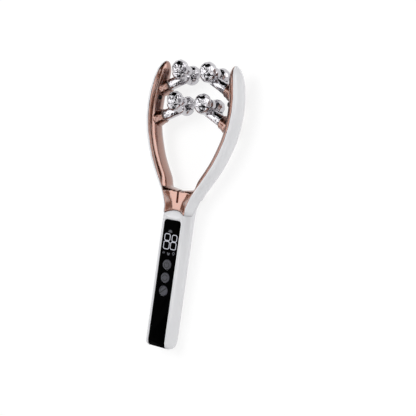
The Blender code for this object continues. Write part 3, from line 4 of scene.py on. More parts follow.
import bmesh
import bpy
import numpy as np
from mathutils import Matrix, Vector


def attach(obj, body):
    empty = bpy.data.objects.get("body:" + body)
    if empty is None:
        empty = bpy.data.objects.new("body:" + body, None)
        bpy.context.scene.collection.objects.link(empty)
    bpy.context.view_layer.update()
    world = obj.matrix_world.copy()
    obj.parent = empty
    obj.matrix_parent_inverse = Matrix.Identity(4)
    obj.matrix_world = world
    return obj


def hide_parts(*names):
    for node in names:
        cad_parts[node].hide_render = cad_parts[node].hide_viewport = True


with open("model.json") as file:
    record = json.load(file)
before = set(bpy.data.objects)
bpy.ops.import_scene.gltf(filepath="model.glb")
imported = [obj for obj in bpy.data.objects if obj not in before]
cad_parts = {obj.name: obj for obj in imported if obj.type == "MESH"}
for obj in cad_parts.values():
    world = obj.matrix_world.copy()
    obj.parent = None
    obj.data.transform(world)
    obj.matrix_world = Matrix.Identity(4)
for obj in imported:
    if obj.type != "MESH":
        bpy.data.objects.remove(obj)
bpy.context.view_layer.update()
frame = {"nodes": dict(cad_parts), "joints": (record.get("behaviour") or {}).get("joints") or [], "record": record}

# The massager's own axes: across it, from its heel to its tips, and out of its panel. It lies on its back,
# tilted a little because the fork is slimmer than the handle, so the panel's normal is read from a button's
# travel, and the heel's place from the mount at the charging end. Its sizes are millimetres on these axes.
MILLIMETRE = 0.001
CHARGING_END_PLACE = Vector((5.6, 0.0, 0.6))

across = Vector((1, 0, 0))
button_travel = next(joint for joint in frame["joints"] if joint["name"] == "button_top_press")
outward = -Vector(button_travel["axis"])
lengthwise = outward.cross(across)
charging_end = next(mount for mount in frame["record"]["mounts"] if mount["name"] == "charging_end")
own_turn = Matrix((across, lengthwise, outward)).transposed()
heel = Vector(charging_end["pos_m"]) - MILLIMETRE * (own_turn @ CHARGING_END_PLACE)
own_to_frame = Matrix.Translation(heel) @ own_turn.to_4x4()


# Camera. The photograph looks down on the panel from the massager's right and a little from its head end,
# with the handle leaning over in the picture. Lens and place were fitted to the outlines in it.
VIEW_ROUND = math.radians(32.3)
VIEW_RISE = math.radians(3.28)
VIEW_ROLL = math.radians(7.97)
VIEW_DISTANCE = 0.71857
VIEW_TARGET = Vector((0.0, 0.110, 0.0))
PICTURE_PIXELS = 416
FOCAL_PIXELS = 936.33
PRINCIPAL_PIXEL = (181.15, 206.31)
SENSOR_MILLIMETRES = 36

towards_camera = Vector((
    math.cos(VIEW_RISE) * math.sin(VIEW_ROUND),
    math.sin(VIEW_RISE),
    math.cos(VIEW_RISE) * math.cos(VIEW_ROUND),
))
level_right = Vector((math.cos(VIEW_ROUND), 0, -math.sin(VIEW_ROUND)))
level_up = towards_camera.cross(level_right)
picture_right = level_right * math.cos(VIEW_ROLL) + level_up * math.sin(VIEW_ROLL)
picture_up = level_up * math.cos(VIEW_ROLL) - level_right * math.sin(VIEW_ROLL)
camera_turn = Matrix((picture_right, picture_up, towards_camera)).transposed().to_4x4()
camera_place = VIEW_TARGET + towards_camera * VIEW_DISTANCE

camera_data = bpy.data.cameras.new("photo_camera")
camera_data.sensor_width = SENSOR_MILLIMETRES
camera_data.lens = FOCAL_PIXELS / PICTURE_PIXELS * SENSOR_MILLIMETRES
camera_data.shift_x = (PICTURE_PIXELS / 2 - PRINCIPAL_PIXEL[0]) / PICTURE_PIXELS
camera_data.shift_y = (PRINCIPAL_PIXEL[1] - PICTURE_PIXELS / 2) / PICTURE_PIXELS
camera = bpy.data.objects.new("photo_camera", camera_data)
camera.matrix_world = own_to_frame @ Matrix.Translation(camera_place) @ camera_turn
bpy.context.scene.collection.objects.link(camera)
bpy.context.scene.camera = camera
bpy.context.scene.view_settings.view_transform = "Standard"


# Studio floor: matt white paper. It carries the massager's soft shadow, and a little light of its own for
# the camera and for reflections takes it the rest of the way to white.
FLOOR_SIDE = 8.0
FLOOR_COLOUR = "#E8E8E8"
FLOOR_GLOW = 0.82
# The share of its lit colour that the camera and reflections see beside that glow
SHADED_SHARE = 0.28


def linear(colour):
    """The linear RGBA of an sRGB hex colour."""
    channels = [int(colour[i:i + 2], 16) / 255 for i in (1, 3, 5)]
    return [c / 12.92 if c <= 0.04045 else ((c + 0.055) / 1.055) ** 2.4 for c in channels] + [1]


def fill_sockets(node, sockets):
    """Gives each of a node's sockets its value, or a link where it is given an output."""
    for name, value in sockets.items():
        if isinstance(value, bpy.types.NodeSocket):
            node.id_data.links.new(value, node.inputs[name])
        else:
            node.inputs[name].default_value = value


def add_node(tree, kind, sockets=None, **settings):
    """A node with its settings, values and links."""
    node = tree.nodes.new(kind)
    for name, value in settings.items():
        setattr(node, name, value)
    fill_sockets(node, sockets or {})
    return node


paper = bpy.data.materials.new("matt_white_paper")
paper.use_nodes = True
tree = paper.node_tree
tree.nodes.clear()
ray = add_node(tree, "ShaderNodeLightPath")
seen = add_node(tree, "ShaderNodeMath", {0: ray.outputs["Is Camera Ray"], 1: ray.outputs["Is Glossy Ray"]},
                operation="MAXIMUM")
matt = add_node(tree, "ShaderNodeBsdfDiffuse", {"Color": linear(FLOOR_COLOUR)})
dimmed = add_node(tree, "ShaderNodeBsdfDiffuse",
                  {"Color": [SHADED_SHARE * channel for channel in linear(FLOOR_COLOUR)]})
glow = add_node(tree, "ShaderNodeEmission", {"Strength": FLOOR_GLOW})
lifted = add_node(tree, "ShaderNodeAddShader", {0: dimmed.outputs[0], 1: glow.outputs[0]})
chosen = add_node(tree, "ShaderNodeMixShader",
                  {0: seen.outputs[0], 1: matt.outputs[0], 2: lifted.outputs[0]})
add_node(tree, "ShaderNodeOutputMaterial", {"Surface": chosen.outputs[0]})

bm = bmesh.new()
bmesh.ops.create_grid(bm, x_segments=1, y_segments=1, size=FLOOR_SIDE / 2)
floor_mesh = bpy.data.meshes.new("paper_floor")
bm.to_mesh(floor_mesh)
bm.free()
floor_mesh.materials.append(paper)
floor = bpy.data.objects.new("paper_floor", floor_mesh)
bpy.context.scene.collection.objects.link(floor)


# Studio light: a white room with an even fill, and two lamps. What plated parts mirror is a tent of long
# softboxes with grey between them that run along the massager, black flags hung beyond its ends and
# between the boxes, and the dark clutter of stands and cables.
ROOM_WHITE = (1, 1, 1, 1)
ROOM_FILL = 0.44
TENT_BRIGHT = 3.2
# The tent round the massager: degrees from its right side over its front, and the share of bright there
TENT_STOPS = (
    (-180, 0.45), (-8, 0.45), (0, 0.78), (27, 0.78), (36, 0.64), (97, 0.64), (106, 0.70), (139, 0.70),
    (147, 0.64), (180, 0.64),
)
# From dark to full, the shares of bright that count as a softbox, which no clutter stands in front of
SOFTBOX_FROM = 0.65
SOFTBOX_FULL = 0.69
# The middle and the half length of the softboxes, as cosines from the massager's length, and their fade
SOFTBOX_MIDDLE = 0.16
SOFTBOX_END = 0.60
SOFTBOX_FADE = 0.08
# Clutter: its noise's scale, the noise below and above which it is dark and gone, how dark it is, and how
# much thicker it stands towards the head end
CLUTTER_SCALE = 5.0
CLUTTER_DETAIL = 1.0
CLUTTER_FULL = 0.525
CLUTTER_GONE = 0.55
CLUTTER_DARK = 0.02
CLUTTER_RISE = 0.06
# Flags: direction in the massager's own axes, and the degrees from it where black ends and light starts
FLAG_DARK = 0.006
FLAGS = (
    ((-0.22, 0.88, -0.38), 44.0, 48.0), ((-0.25, 0.95, 0.20), 43.0, 47.0),
    ((0.10, -0.97, 0.22), 22.0, 30.0), ((-0.99, 0.14, 0.05), 5.0, 8.0),
    ((-0.55, 0.56, 0.62), 15.0, 19.0), ((0.34, 0.62, 0.70), 15.0, 19.0),
    ((-0.15, 0.72, 0.68), 15.0, 19.0), ((0.90, -0.15, 0.30), 13.0, 17.0),
    ((-0.40, 0.35, 0.85), 11.0, 15.0), ((0.62, 0.05, 0.78), 8.0, 11.0),
    ((-0.30, -0.64, 0.71), 12.0, 15.0), ((0.62, -0.40, 0.67), 14.0, 18.0),
)
# Lamps: place in metres, side of the square and watts. Plated parts don't mirror them.
LAMPS = {
    "overhead_softbox": (Vector((-0.35, 0.25, 1.00)), 0.60, 5.9),
    "right_softbox": (Vector((1.00, 0.05, 0.16)), 0.32, 2.5),
}

room = bpy.data.worlds.new("white_room")
bpy.context.scene.world = room
room.use_nodes = True
tree = room.node_tree
tree.nodes.clear()
way = add_node(tree, "ShaderNodeTexCoord")


def toward(direction):
    """How far a reflection goes along a direction of the massager's own axes."""
    facing = own_to_frame.to_3x3() @ Vector(direction).normalized()
    return add_node(tree, "ShaderNodeVectorMath", {0: way.outputs["Generated"], 1: facing},
                    operation="DOT_PRODUCT").outputs["Value"]


sweep = add_node(tree, "ShaderNodeMath", {0: toward((0, 0, 1)), 1: toward((1, 0, 0))}, operation="ARCTAN2")
turned = add_node(tree, "ShaderNodeMapRange",
                  {"Value": sweep.outputs[0], "From Min": -math.pi, "From Max": math.pi})
tent = add_node(tree, "ShaderNodeValToRGB", {"Fac": turned.outputs["Result"]})
stops = tent.color_ramp.elements
while len(stops) < len(TENT_STOPS):
    stops.new(0.5)
for stop, (degrees, share) in zip(stops, TENT_STOPS):
    stop.position = (degrees + 180) / 360
    stop.color = (share, share, share, 1)
light = add_node(tree, "ShaderNodeMath", {0: tent.outputs["Color"], 1: TENT_BRIGHT},
                 operation="MULTIPLY").outputs[0]
for direction, core, edge in FLAGS:
    unhidden = add_node(tree, "ShaderNodeMapRange",
                        {"Value": toward(direction), "From Min": math.cos(math.radians(edge)),
                         "From Max": math.cos(math.radians(core)), "To Min": 1.0, "To Max": FLAG_DARK},
                        interpolation_type="SMOOTHSTEP")
    light = add_node(tree, "ShaderNodeMath", {0: light, 1: unhidden.outputs["Result"]},
                     operation="MULTIPLY").outputs[0]

stands = add_node(tree, "ShaderNodeTexNoise", {"Vector": way.outputs["Generated"], "Scale": CLUTTER_SCALE,
                                               "Detail": CLUTTER_DETAIL})
risen = add_node(tree, "ShaderNodeMath", {0: toward((0, 1, 0)), 1: -CLUTTER_RISE, 2: stands.outputs["Fac"]},
                 operation="MULTIPLY_ADD")
clear = add_node(tree, "ShaderNodeMapRange",
                 {"Value": risen.outputs[0], "From Min": CLUTTER_FULL, "From Max": CLUTTER_GONE,
                  "To Min": CLUTTER_DARK})
softbox = add_node(tree, "ShaderNodeMapRange",
                   {"Value": tent.outputs["Color"], "From Min": SOFTBOX_FROM, "From Max": SOFTBOX_FULL})
endward = add_node(tree, "ShaderNodeMath", {0: toward((0, 1, 0)), 1: SOFTBOX_MIDDLE}, operation="SUBTRACT")
endward = add_node(tree, "ShaderNodeMath", {0: endward.outputs[0]}, operation="ABSOLUTE")
amidships = add_node(tree, "ShaderNodeMapRange",
                     {"Value": endward.outputs[0], "From Min": SOFTBOX_END + SOFTBOX_FADE,
                      "From Max": SOFTBOX_END})
softbox = add_node(tree, "ShaderNodeMath",
                   {0: softbox.outputs["Result"], 1: amidships.outputs["Result"]}, operation="MULTIPLY")
clear = add_node(tree, "ShaderNodeMath", {0: clear.outputs["Result"], 1: softbox.outputs[0]},
                 operation="MAXIMUM")
light = add_node(tree, "ShaderNodeMath", {0: light, 1: clear.outputs[0]}, operation="MULTIPLY").outputs[0]

mirrored_room = add_node(tree, "ShaderNodeBackground", {"Color": light})
fill = add_node(tree, "ShaderNodeBackground", {"Color": ROOM_WHITE, "Strength": ROOM_FILL})
backdrop = add_node(tree, "ShaderNodeBackground", {"Color": ROOM_WHITE})
ray = add_node(tree, "ShaderNodeLightPath")
glossy = add_node(tree, "ShaderNodeMixShader",
                  {0: ray.outputs["Is Glossy Ray"], 1: fill.outputs[0], 2: mirrored_room.outputs[0]})
shown = add_node(tree, "ShaderNodeMixShader",
                 {0: ray.outputs["Is Camera Ray"], 1: glossy.outputs[0], 2: backdrop.outputs[0]})
add_node(tree, "ShaderNodeOutputWorld", {"Surface": shown.outputs[0]})

for name, (lamp_place, lamp_side, watts) in LAMPS.items():
    lamp_data = bpy.data.lights.new(name, "AREA")
    lamp_data.size = lamp_side
    lamp_data.energy = watts
    lamp = bpy.data.objects.new(name, lamp_data)
    lamp.location = lamp_place
    lamp.visible_glossy = False
    lamp.rotation_euler = lamp_place.to_track_quat("Z", "Y").to_euler()
    bpy.context.scene.collection.objects.link(lamp)


# White shells: the channel that forms the handle's back and sides, its front plate and the two tine
# covers. Injection-moulded ABS from a polished tool under clear lacquer, snapped and screwed together.
WHITES = ("#E6E6E9", "#EDEDEF")
FLOW_MILLIMETRES = 30.0
ORANGE_PEEL_MILLIMETRES = 2.5
ORANGE_PEEL_DEPTH = 0.05
SHELL_SHARP = math.radians(38)
JOIN_DISTANCE = 1e-6


def per_metre(millimetres):
    """The texture scale that gives features of this size."""
    return 1 / (millimetres * MILLIMETRE)


def finish_of(name):
    """A new material with its node tree, its Principled shader and its Object coordinates."""
    material = bpy.data.materials.new(name)
    material.use_nodes = True
    tree = material.node_tree
    shader = next(node for node in tree.nodes if node.type == "BSDF_PRINCIPLED")
    return material, tree, shader, add_node(tree, "ShaderNodeTexCoord").outputs["Object"]


def mottled(name, millimetres, colours, sockets, detail=2.0):
    """A new material whose colour wanders between two in patches of that size, with its node tree, its
    shader and the patches' pattern."""
    material, tree, shader, place = finish_of(name)
    noise = add_node(tree, "ShaderNodeTexNoise",
                     {"Vector": place, "Scale": per_metre(millimetres), "Detail": detail})
    # Several sockets of a Mix node share a name, so the share, the two colours and the result go by number
    low, high = (linear(colour) for colour in colours)
    shade = add_node(tree, "ShaderNodeMix", {0: noise.outputs["Fac"], 6: low, 7: high}, data_type="RGBA")
    fill_sockets(shader, {"Base Color": shade.outputs[2], **sockets})
    return material, tree, shader, noise.outputs["Fac"]


def piece_from(bm, name, sharp):
    """An object in the scene from a bmesh in frame coordinates, shaded smooth up to that angle."""
    mesh = bpy.data.meshes.new(name)
    bm.to_mesh(mesh)
    bm.free()
    mesh.shade_smooth()
    mesh.set_sharp_from_angle(angle=sharp)
    piece = bpy.data.objects.new(name, mesh)
    bpy.context.scene.collection.objects.link(piece)
    return piece


def smooth_copy(node, sharp):
    """A merged copy of a CAD node, to stand for it with smooth shading."""
    bm = bmesh.new()
    bm.from_mesh(frame["nodes"][node].data)
    bmesh.ops.remove_doubles(bm, verts=bm.verts, dist=JOIN_DISTANCE)
    return piece_from(bm, node + "_smooth", sharp)


def dress(piece, material, slot_name, body, *nodes):
    """Gives a piece its finish and its body, and hides the CAD nodes that it stands for. slot_name is not used."""
    piece.data.materials.clear()
    piece.data.materials.append(material)
    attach(piece, body)
    if nodes:
        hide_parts(*nodes)


# ABS moulded in a polished tool and lacquered: clear reflections that the lacquer's orange peel softens,
# over a white that clouds faintly where the plastic flowed
gloss_abs, tree, shader, _ = mottled("polished_white_abs", FLOW_MILLIMETRES, WHITES, {"IOR": 1.53})
place = add_node(tree, "ShaderNodeTexCoord").outputs["Object"]
peel = add_node(tree, "ShaderNodeTexNoise", {"Vector": place, "Scale": per_metre(ORANGE_PEEL_MILLIMETRES)})
sheen = add_node(tree, "ShaderNodeMapRange", {"Value": peel.outputs["Fac"], "To Min": 0.16, "To Max": 0.22})
ripple = add_node(tree, "ShaderNodeBump", {"Height": peel.outputs["Fac"], "Strength": 0.02,
                                           "Distance": ORANGE_PEEL_DEPTH * MILLIMETRE})
fill_sockets(shader, {"Roughness": sheen.outputs["Result"], "Normal": ripple.outputs["Normal"]})

for node in ("handle_rear_shell", "handle_front_shell", "tine_shell_left", "tine_shell_right"):
    dress(smooth_copy(node, SHELL_SHARP), gloss_abs, "white_gloss", "massager", node)


# Fork liner: the inner half of both tines, the saddle between them and the four flared sockets in one
# moulding. Electroplated ABS in rose gold under a hard clear lacquer, pushed into the handle on its tang.
NECK_FOOT = 104.0
NECK_HALF_WIDTH = 8.9
WINDOW_FOOT = 122.5
REAR_SHELL_TOP = 116.2
PEAK_RISE = 2.8
SADDLE_ROUND = 2.2
TINE_REACH = 37.0
TINE_HALF_DEPTH = 8.2
TINE_BULGE = 6.5
TIP_END = 220.0
TIP_LENGTH = 14.0
TIP_START = TIP_END - TIP_LENGTH
TIP_BLUNTNESS = 0.8
SEAM_GAP = 0.3
FORK_WALL = 1.2
# The seam with the white shell, as (share of the height from neck to tip, share of the way out)
SEAM_SHARES = (
    (0.000, 0.000), (0.036, 0.006), (0.070, 0.035), (0.100, 0.085), (0.142, 0.158), (0.195, 0.284),
    (0.250, 0.425), (0.318, 0.575), (0.370, 0.690), (0.435, 0.790), (0.500, 0.882), (0.570, 0.950),
    (0.640, 0.986), (0.700, 1.000), (0.760, 0.994), (0.820, 0.968), (0.880, 0.920), (0.940, 0.855),
    (1.000, 0.780),
)
# Bulge and half depth along a tine, as shares of their full size at shares of its height
HEIGHT_SHARES = (0.00, 0.10, 0.25, 0.45, 0.70, 0.85, 1.00)
BULGE_SHARES = (0.70, 0.72, 0.80, 0.84, 0.96, 1.00, 0.92)
HALF_DEPTH_SHARES = (1.085, 1.06, 1.03, 1.01, 1.00, 0.98, 0.96)
# Sections of the saddle: its lower edge across and up, and the window's edge
SADDLE_SHARES = ((0.0, 1.0, 0.0), (0.28, 0.90, 0.028), (0.52, 0.66, 0.056), (0.78, 0.28, 0.085))
# Sections of the neck: height on the seam, and the window's edge across and up
NECK_SHARES = ((0.0, 0.115, 0.060), (0.045, 0.16, 0.105), (0.085, 0.21, 0.165), (0.125, 0.27, 0.250),
               (0.165, 0.325, 0.430))
# Sections of a tine by height, and those of its rounded tip by angle
STATION_SHARES = (0.215, 0.28, 0.35, 0.43, 0.52, 0.61, 0.70, 0.79, 0.875)
TIP_ANGLE_SHARES = (0.30, 0.54, 0.75, 0.90)
SECTION_STEPS = 5
ROUND_CROSSINGS = 14
LINER_SHARP = math.radians(50)
# The trough in the front of the neck: depth, where it starts and is full, where it runs out, side bands
TROUGH_DEPTH = 2.5
TROUGH_START = (99.1, 108.6)
TROUGH_END = (104.0, 152.7)
TROUGH_BAND = 5.6
# The slit in the saddle, and how far round it and down to which level the skin is cut along its edges
SLIT_HALF_WIDTH = 0.95
SLIT_FOOT = 112.5
SLIT_DEPTH = 3.0
SLIT_LEVEL = 3.0
CUT_MARGIN = 3.0
CUT_LEVEL = 2.0
# Rows of rollers: height and lift of their hubs. The sockets' rims lie below them, out in the tines.
ROLLER_ROWS = {"upper": (213.4, -1.2), "lower": (189.4, 0.0)}
SIDES = {"left": -1, "right": 1}
ARM_RISE = math.radians(25)
SOCKET_DROP = 11.65
SOCKET_OUT = 25.87
# Flared socket, turned about its arm: (radius, height), from the bore round the rim to the skin
SOCKET_PROFILE = (
    (3.1, -0.4), (4.7, -0.4), (4.9, -0.15), (5.15, 0.0), (5.35, -0.25), (5.45, -0.8), (5.55, -1.6),
    (5.75, -2.6), (6.05, -3.8), (6.4, -5.0), (6.7, -6.5), (6.8, -8.0),
)
SOCKET_TURNS = 56
ROSE_GOLDS = ("#874F37", "#93583F")
PLATING_MILLIMETRES = 12.0
SLIT_SHADE_BLACKS = ("#0A0808", "#141010")
GRIT_MILLIMETRES = 0.5


def smooth_step(share):
    """A share from 0 to 1 that starts and ends gently."""
    share = min(max(share, 0.0), 1.0)
    return share * share * (3 - 2 * share)


def curve_at(places, values, at):
    """A smooth curve through points, read at one place."""
    slopes = np.gradient(np.array(values, float), np.array(places, float))
    index = min(max(int(np.searchsorted(places, at)) - 1, 0), len(places) - 2)
    step = places[index + 1] - places[index]
    share = (at - places[index]) / step
    low = (1 + 2 * share) * values[index] + share * step * slopes[index]
    high = (3 - 2 * share) * values[index + 1] + (share - 1) * step * slopes[index + 1]
    return float((1 - share) ** 2 * low + share ** 2 * high)


def between(rows, place):
    """The row at a place between rows, on a smooth curve through them."""
    index = min(int(place), len(rows) - 2)
    share = place - index
    before, low, high, after = (rows[min(max(index + k, 0), len(rows) - 1)] for k in (-1, 0, 1, 2))
    return [
        q + share / 2 * (r - p + share * (2 * p - 5 * q + 4 * r - t + share * (3 * (q - r) + t - p)))
        for p, q, r, t in zip(before, low, high, after)
    ]


def tine_share(height):
    """How far up from the neck to the tips a height is."""
    return (height - NECK_FOOT) / (TIP_END - NECK_FOOT)


def tine_height(share):
    """The height at a share of the way from the neck to the tips."""
    return NECK_FOOT + share * (TIP_END - NECK_FOOT)


def tine_size(full, shares, height):
    """A tine's bulge or half depth at a height, from its full size."""
    return full * curve_at(HEIGHT_SHARES, shares, min(max(tine_share(height), 0.0), 1.0))


def seam_across(height):
    """How far from the middle the seam lies at a height."""
    heights, out = zip(*SEAM_SHARES)
    share = curve_at(heights, out, max(tine_share(height), 0.0))
    return NECK_HALF_WIDTH + share * (TINE_REACH - NECK_HALF_WIDTH)


def seam_point(height):
    """The seam's point at a height, and the direction there away from the window."""
    slope = (seam_across(height + SEAM_GAP) - seam_across(height - SEAM_GAP)) / (2 * SEAM_GAP)
    return Vector((seam_across(height), height)), Vector((1, -slope)).normalized()


def liner_sections():
    """The liner's sections from the middle of the saddle out to the right tip: front edge, rear edge and
    window edge, each across and up, then half depth, and how far the window edge's rounding reaches."""
    rear_edge = REAR_SHELL_TOP + SEAM_GAP
    window_rise = tine_height(STATION_SHARES[0]) - WINDOW_FOOT
    rows = []
    for across_share, rise_share, window_share in SADDLE_SHARES:
        edge = across_share * NECK_HALF_WIDTH
        window = (window_share * TINE_REACH, WINDOW_FOOT + window_share * window_rise / 4)
        depth = tine_size(TINE_HALF_DEPTH, HALF_DEPTH_SHARES, NECK_FOOT)
        rows.append((edge, NECK_FOOT + rise_share * PEAK_RISE, edge, rear_edge, *window, depth,
                     SADDLE_ROUND))
    for seam_share, across_share, rise_share in NECK_SHARES:
        height = tine_height(seam_share)
        point, away = seam_point(height)
        front = point - away * SEAM_GAP / 2
        rear_height = max(height, rear_edge)
        rear = Vector((seam_across(rear_height), rear_height)) - away * SEAM_GAP / 2
        drawn_in = smooth_step((REAR_SHELL_TOP - height) / (REAR_SHELL_TOP - NECK_FOOT))
        rear.x -= drawn_in * (rear.x - NECK_HALF_WIDTH)
        window = (across_share * TINE_REACH, WINDOW_FOOT + rise_share * window_rise)
        depth = tine_size(TINE_HALF_DEPTH, HALF_DEPTH_SHARES, height)
        grown = smooth_step(seam_share / NECK_SHARES[-1][0])
        rounding = SADDLE_ROUND + grown * (tine_size(TINE_BULGE, BULGE_SHARES, height) - SADDLE_ROUND)
        rows.append((*front, *rear, *window, depth, rounding))
    heights = [tine_height(share) for share in STATION_SHARES]
    heights += [TIP_START + TIP_LENGTH * math.sin(math.pi / 2 * share) for share in TIP_ANGLE_SHARES]
    for height in heights:
        point, away = seam_point(height)
        edge = point - away * SEAM_GAP / 2
        shrink = math.sqrt(1 - (max(height - TIP_START, 0.0) / TIP_LENGTH) ** 2)
        depth = max(tine_size(TINE_HALF_DEPTH, HALF_DEPTH_SHARES, height) * shrink, TIP_BLUNTNESS)
        rounding = max(tine_size(TINE_BULGE, BULGE_SHARES, height) * shrink, TIP_BLUNTNESS)
        rows.append((*edge, *edge, *(point - away * rounding), depth, rounding))
    return rows


def trough(out, height):
    """How far the front of the neck lies under its edges."""
    start = smooth_step((height - TROUGH_START[0]) / (TROUGH_START[1] - TROUGH_START[0]))
    end = 1 - smooth_step((height - TROUGH_END[0]) / (TROUGH_END[1] - TROUGH_END[0]))
    band = (seam_across(height) - abs(out)) / TROUGH_BAND
    return TROUGH_DEPTH * start * end * min(max(band, 0.0), 1.0)


sections = liner_sections()
# The section left of the middle comes first, so that the curve through them runs level over the saddle
sections.insert(0, [-size if k in (0, 2, 4) else size for k, size in enumerate(sections[1])])


def liner_skin(along, crossing):
    """A point of the liner's skin: along from -1 to 1 left tip to right tip, crossing rear to front."""
    side = -1 if along < 0 else 1
    row = between(sections, 1 + abs(along) * (len(sections) - 2))
    front, rear, window = (Vector((side * row[k], row[k + 1])) for k in (0, 2, 4))
    depth, rounding = row[6:]
    run = (front if crossing > 0 else rear) - window
    share = 1 - math.cos(math.pi / 2 * abs(crossing))
    reach = min(share * run.length / rounding, 1.0)
    rise = depth * math.sqrt(1 - (1 - reach) ** 2)
    spot = window + run * share
    if crossing < 0:
        return Vector((spot.x, spot.y, -rise))
    return Vector((spot.x, spot.y, rise - reach * trough(spot.x, spot.y)))


def front_faces(bm, half_width, foot, level):
    """The faces whose middles lie near the massager's middle, above a height and a level."""
    middles = [(face, face.calc_center_median()) for face in bm.faces]
    return [face for face, middle in middles
            if abs(middle.x) < half_width and middle.y > foot and middle.z > level]


def in_frame(bm):
    """Takes a bmesh from the massager's own millimetres to the frame."""
    bmesh.ops.transform(bm, matrix=own_to_frame @ Matrix.Scale(MILLIMETRE, 4), verts=bm.verts)
    return bm


def spun(profile, turns, axis_frame):
    """A lathe shape from (radius, height) points, carried to where its axis lies."""
    bm = bmesh.new()
    verts = [bm.verts.new((radius, 0, height)) for radius, height in profile]
    edges = [bm.edges.new(pair) for pair in zip(verts, verts[1:])]
    bmesh.ops.spin(bm, geom=verts + edges, cent=(0, 0, 0), axis=(0, 0, 1), angle=math.tau, steps=turns,
                   use_merge=True)
    bmesh.ops.remove_doubles(bm, verts=bm.verts, dist=JOIN_DISTANCE)
    bmesh.ops.recalc_face_normals(bm, faces=bm.faces)
    bmesh.ops.transform(bm, matrix=axis_frame, verts=bm.verts)
    return bm


def along_axis(point, direction):
    """The place of a lathe shape whose axis runs along a direction from a point."""
    return Matrix.Translation(point) @ direction.to_track_quat("Z", "Y").to_matrix().to_4x4()


def toward_hub(side):
    """The direction of an arm from its socket to its hub."""
    return Vector((-side * math.cos(ARM_RISE), math.sin(ARM_RISE), 0))


def joined(bms):
    """One bmesh of several."""
    together = bmesh.new()
    for bm in bms:
        mesh = bpy.data.meshes.new("joint")
        bm.to_mesh(mesh)
        bm.free()
        together.from_mesh(mesh)
        bpy.data.meshes.remove(mesh)
    return together


skin = bmesh.new()
bmesh.ops.create_grid(skin, x_segments=2 * SECTION_STEPS * (len(sections) - 2),
                      y_segments=2 * ROUND_CROSSINGS, size=1)
for vert in skin.verts:
    vert.co = liner_skin(vert.co.x, vert.co.y)
slit_walls = (
    ((-SLIT_HALF_WIDTH, 0, 0), (1, 0, 0)),
    ((SLIT_HALF_WIDTH, 0, 0), (1, 0, 0)),
    ((0, SLIT_FOOT, 0), (0, 1, 0)),
)
for point, normal in slit_walls:
    near = front_faces(skin, CUT_MARGIN, SLIT_FOOT - CUT_MARGIN, CUT_LEVEL)
    edges = {edge for face in near for edge in face.edges}
    verts = {vert for face in near for vert in face.verts}
    bmesh.ops.bisect_plane(skin, geom=[*verts, *edges, *near], plane_co=point, plane_no=normal)
slit = front_faces(skin, SLIT_HALF_WIDTH, SLIT_FOOT, SLIT_LEVEL)
sunk = bmesh.ops.extrude_face_region(skin, geom=slit)["geom"]
bmesh.ops.delete(skin, geom=slit, context="FACES")
sunk_verts = {item for item in sunk if isinstance(item, bmesh.types.BMVert)}
bmesh.ops.translate(skin, vec=(0, 0, -SLIT_DEPTH), verts=list(sunk_verts))
# The slit's sunk faces and walls take the second material, the near-black painted shade for its depth
for face in skin.faces:
    if sunk_verts.intersection(face.verts):
        face.material_index = 1
bmesh.ops.recalc_face_normals(skin, faces=skin.faces)
sockets = []
for side in SIDES.values():
    for height, lift in ROLLER_ROWS.values():
        rim = Vector((side * SOCKET_OUT, height - SOCKET_DROP, lift))
        sockets.append(spun(SOCKET_PROFILE, SOCKET_TURNS, along_axis(rim, toward_hub(side))))

# Rose-gold electroplating under hard lacquer: a broad satin sheen in the metal's colour, and over it the
# coat's sharper and cooler one, whose index is set above a clear lacquer's to be as strong as it looks
rose_plating, tree, shader, cloud = mottled(
    "rose_gold_plating", PLATING_MILLIMETRES, ROSE_GOLDS,
    {"Metallic": 1.0, "Coat Weight": 1.0, "Coat IOR": 2.3, "Coat Roughness": 0.14},
)
haze = add_node(tree, "ShaderNodeMapRange", {"Value": cloud, "To Min": 0.27, "To Max": 0.31})
fill_sockets(shader, {"Roughness": haze.outputs["Result"]})
# Painted shade for the slit: near black and matt with a fine grit, standing for the shade down in its depth
slit_painted_shade, *_ = mottled("painted_slit_shade_black", GRIT_MILLIMETRES, SLIT_SHADE_BLACKS, {"Roughness": 0.6})

liner = piece_from(in_frame(joined([skin, *sockets])), "fork_liner_moulding", LINER_SHARP)
wall = liner.modifiers.new("wall", "SOLIDIFY")
wall.thickness = FORK_WALL * MILLIMETRE
wall.offset = -1
dress(liner, rose_plating, "rose_gold", "massager", "fork_liner")
# The second slot holds the near-black painted shade of the slit
liner.data.materials.append(slit_painted_shade)


# Display panel: a black acrylic window that wraps round the handle's lower end. Moulded, given an
# anti-glare coat and glued into its recess in the front plate.
PANEL_BLACK = "#020202"
PANEL_SHARP = math.radians(30)
SMEAR_MILLIMETRES = 12.0

# Moulded acrylic with an anti-glare coat: near black all over, because the coat takes nearly all of its
# reflection, with a polish that varies as if it had been wiped
black_acrylic, tree, shader, place = finish_of("black_acrylic")
smear = add_node(tree, "ShaderNodeTexNoise", {"Vector": place, "Scale": per_metre(SMEAR_MILLIMETRES)})
polish = add_node(tree, "ShaderNodeMapRange",
                  {"Value": smear.outputs["Fac"], "To Min": 0.12, "To Max": 0.18})
fill_sockets(shader, {"Base Color": linear(PANEL_BLACK), "Roughness": polish.outputs["Result"],
                      "IOR": 1.49, "Specular IOR Level": 0.004})
dress(smooth_copy("display_panel", PANEL_SHARP), black_acrylic, "black_panel", "massager",
      "display_panel")


# Figures on the display: two digits of bright strokes, and a few dim signs above and below them. Small
# lamps behind the window draw them on the real one, and here thin film on its face does.
DIGIT_COLOUR = "#F2F4FF"
DIGIT_GLOW = 0.62
SIGN_COLOUR = "#B8BAC4"
SIGN_GLOW = 0.24
LAMP_MILLIMETRES = 2.0
LAMP_UNEVENNESS = 0.15
PANEL_FACE = 8.7
FILM = 0.03
FILM_SHARP = math.radians(30)
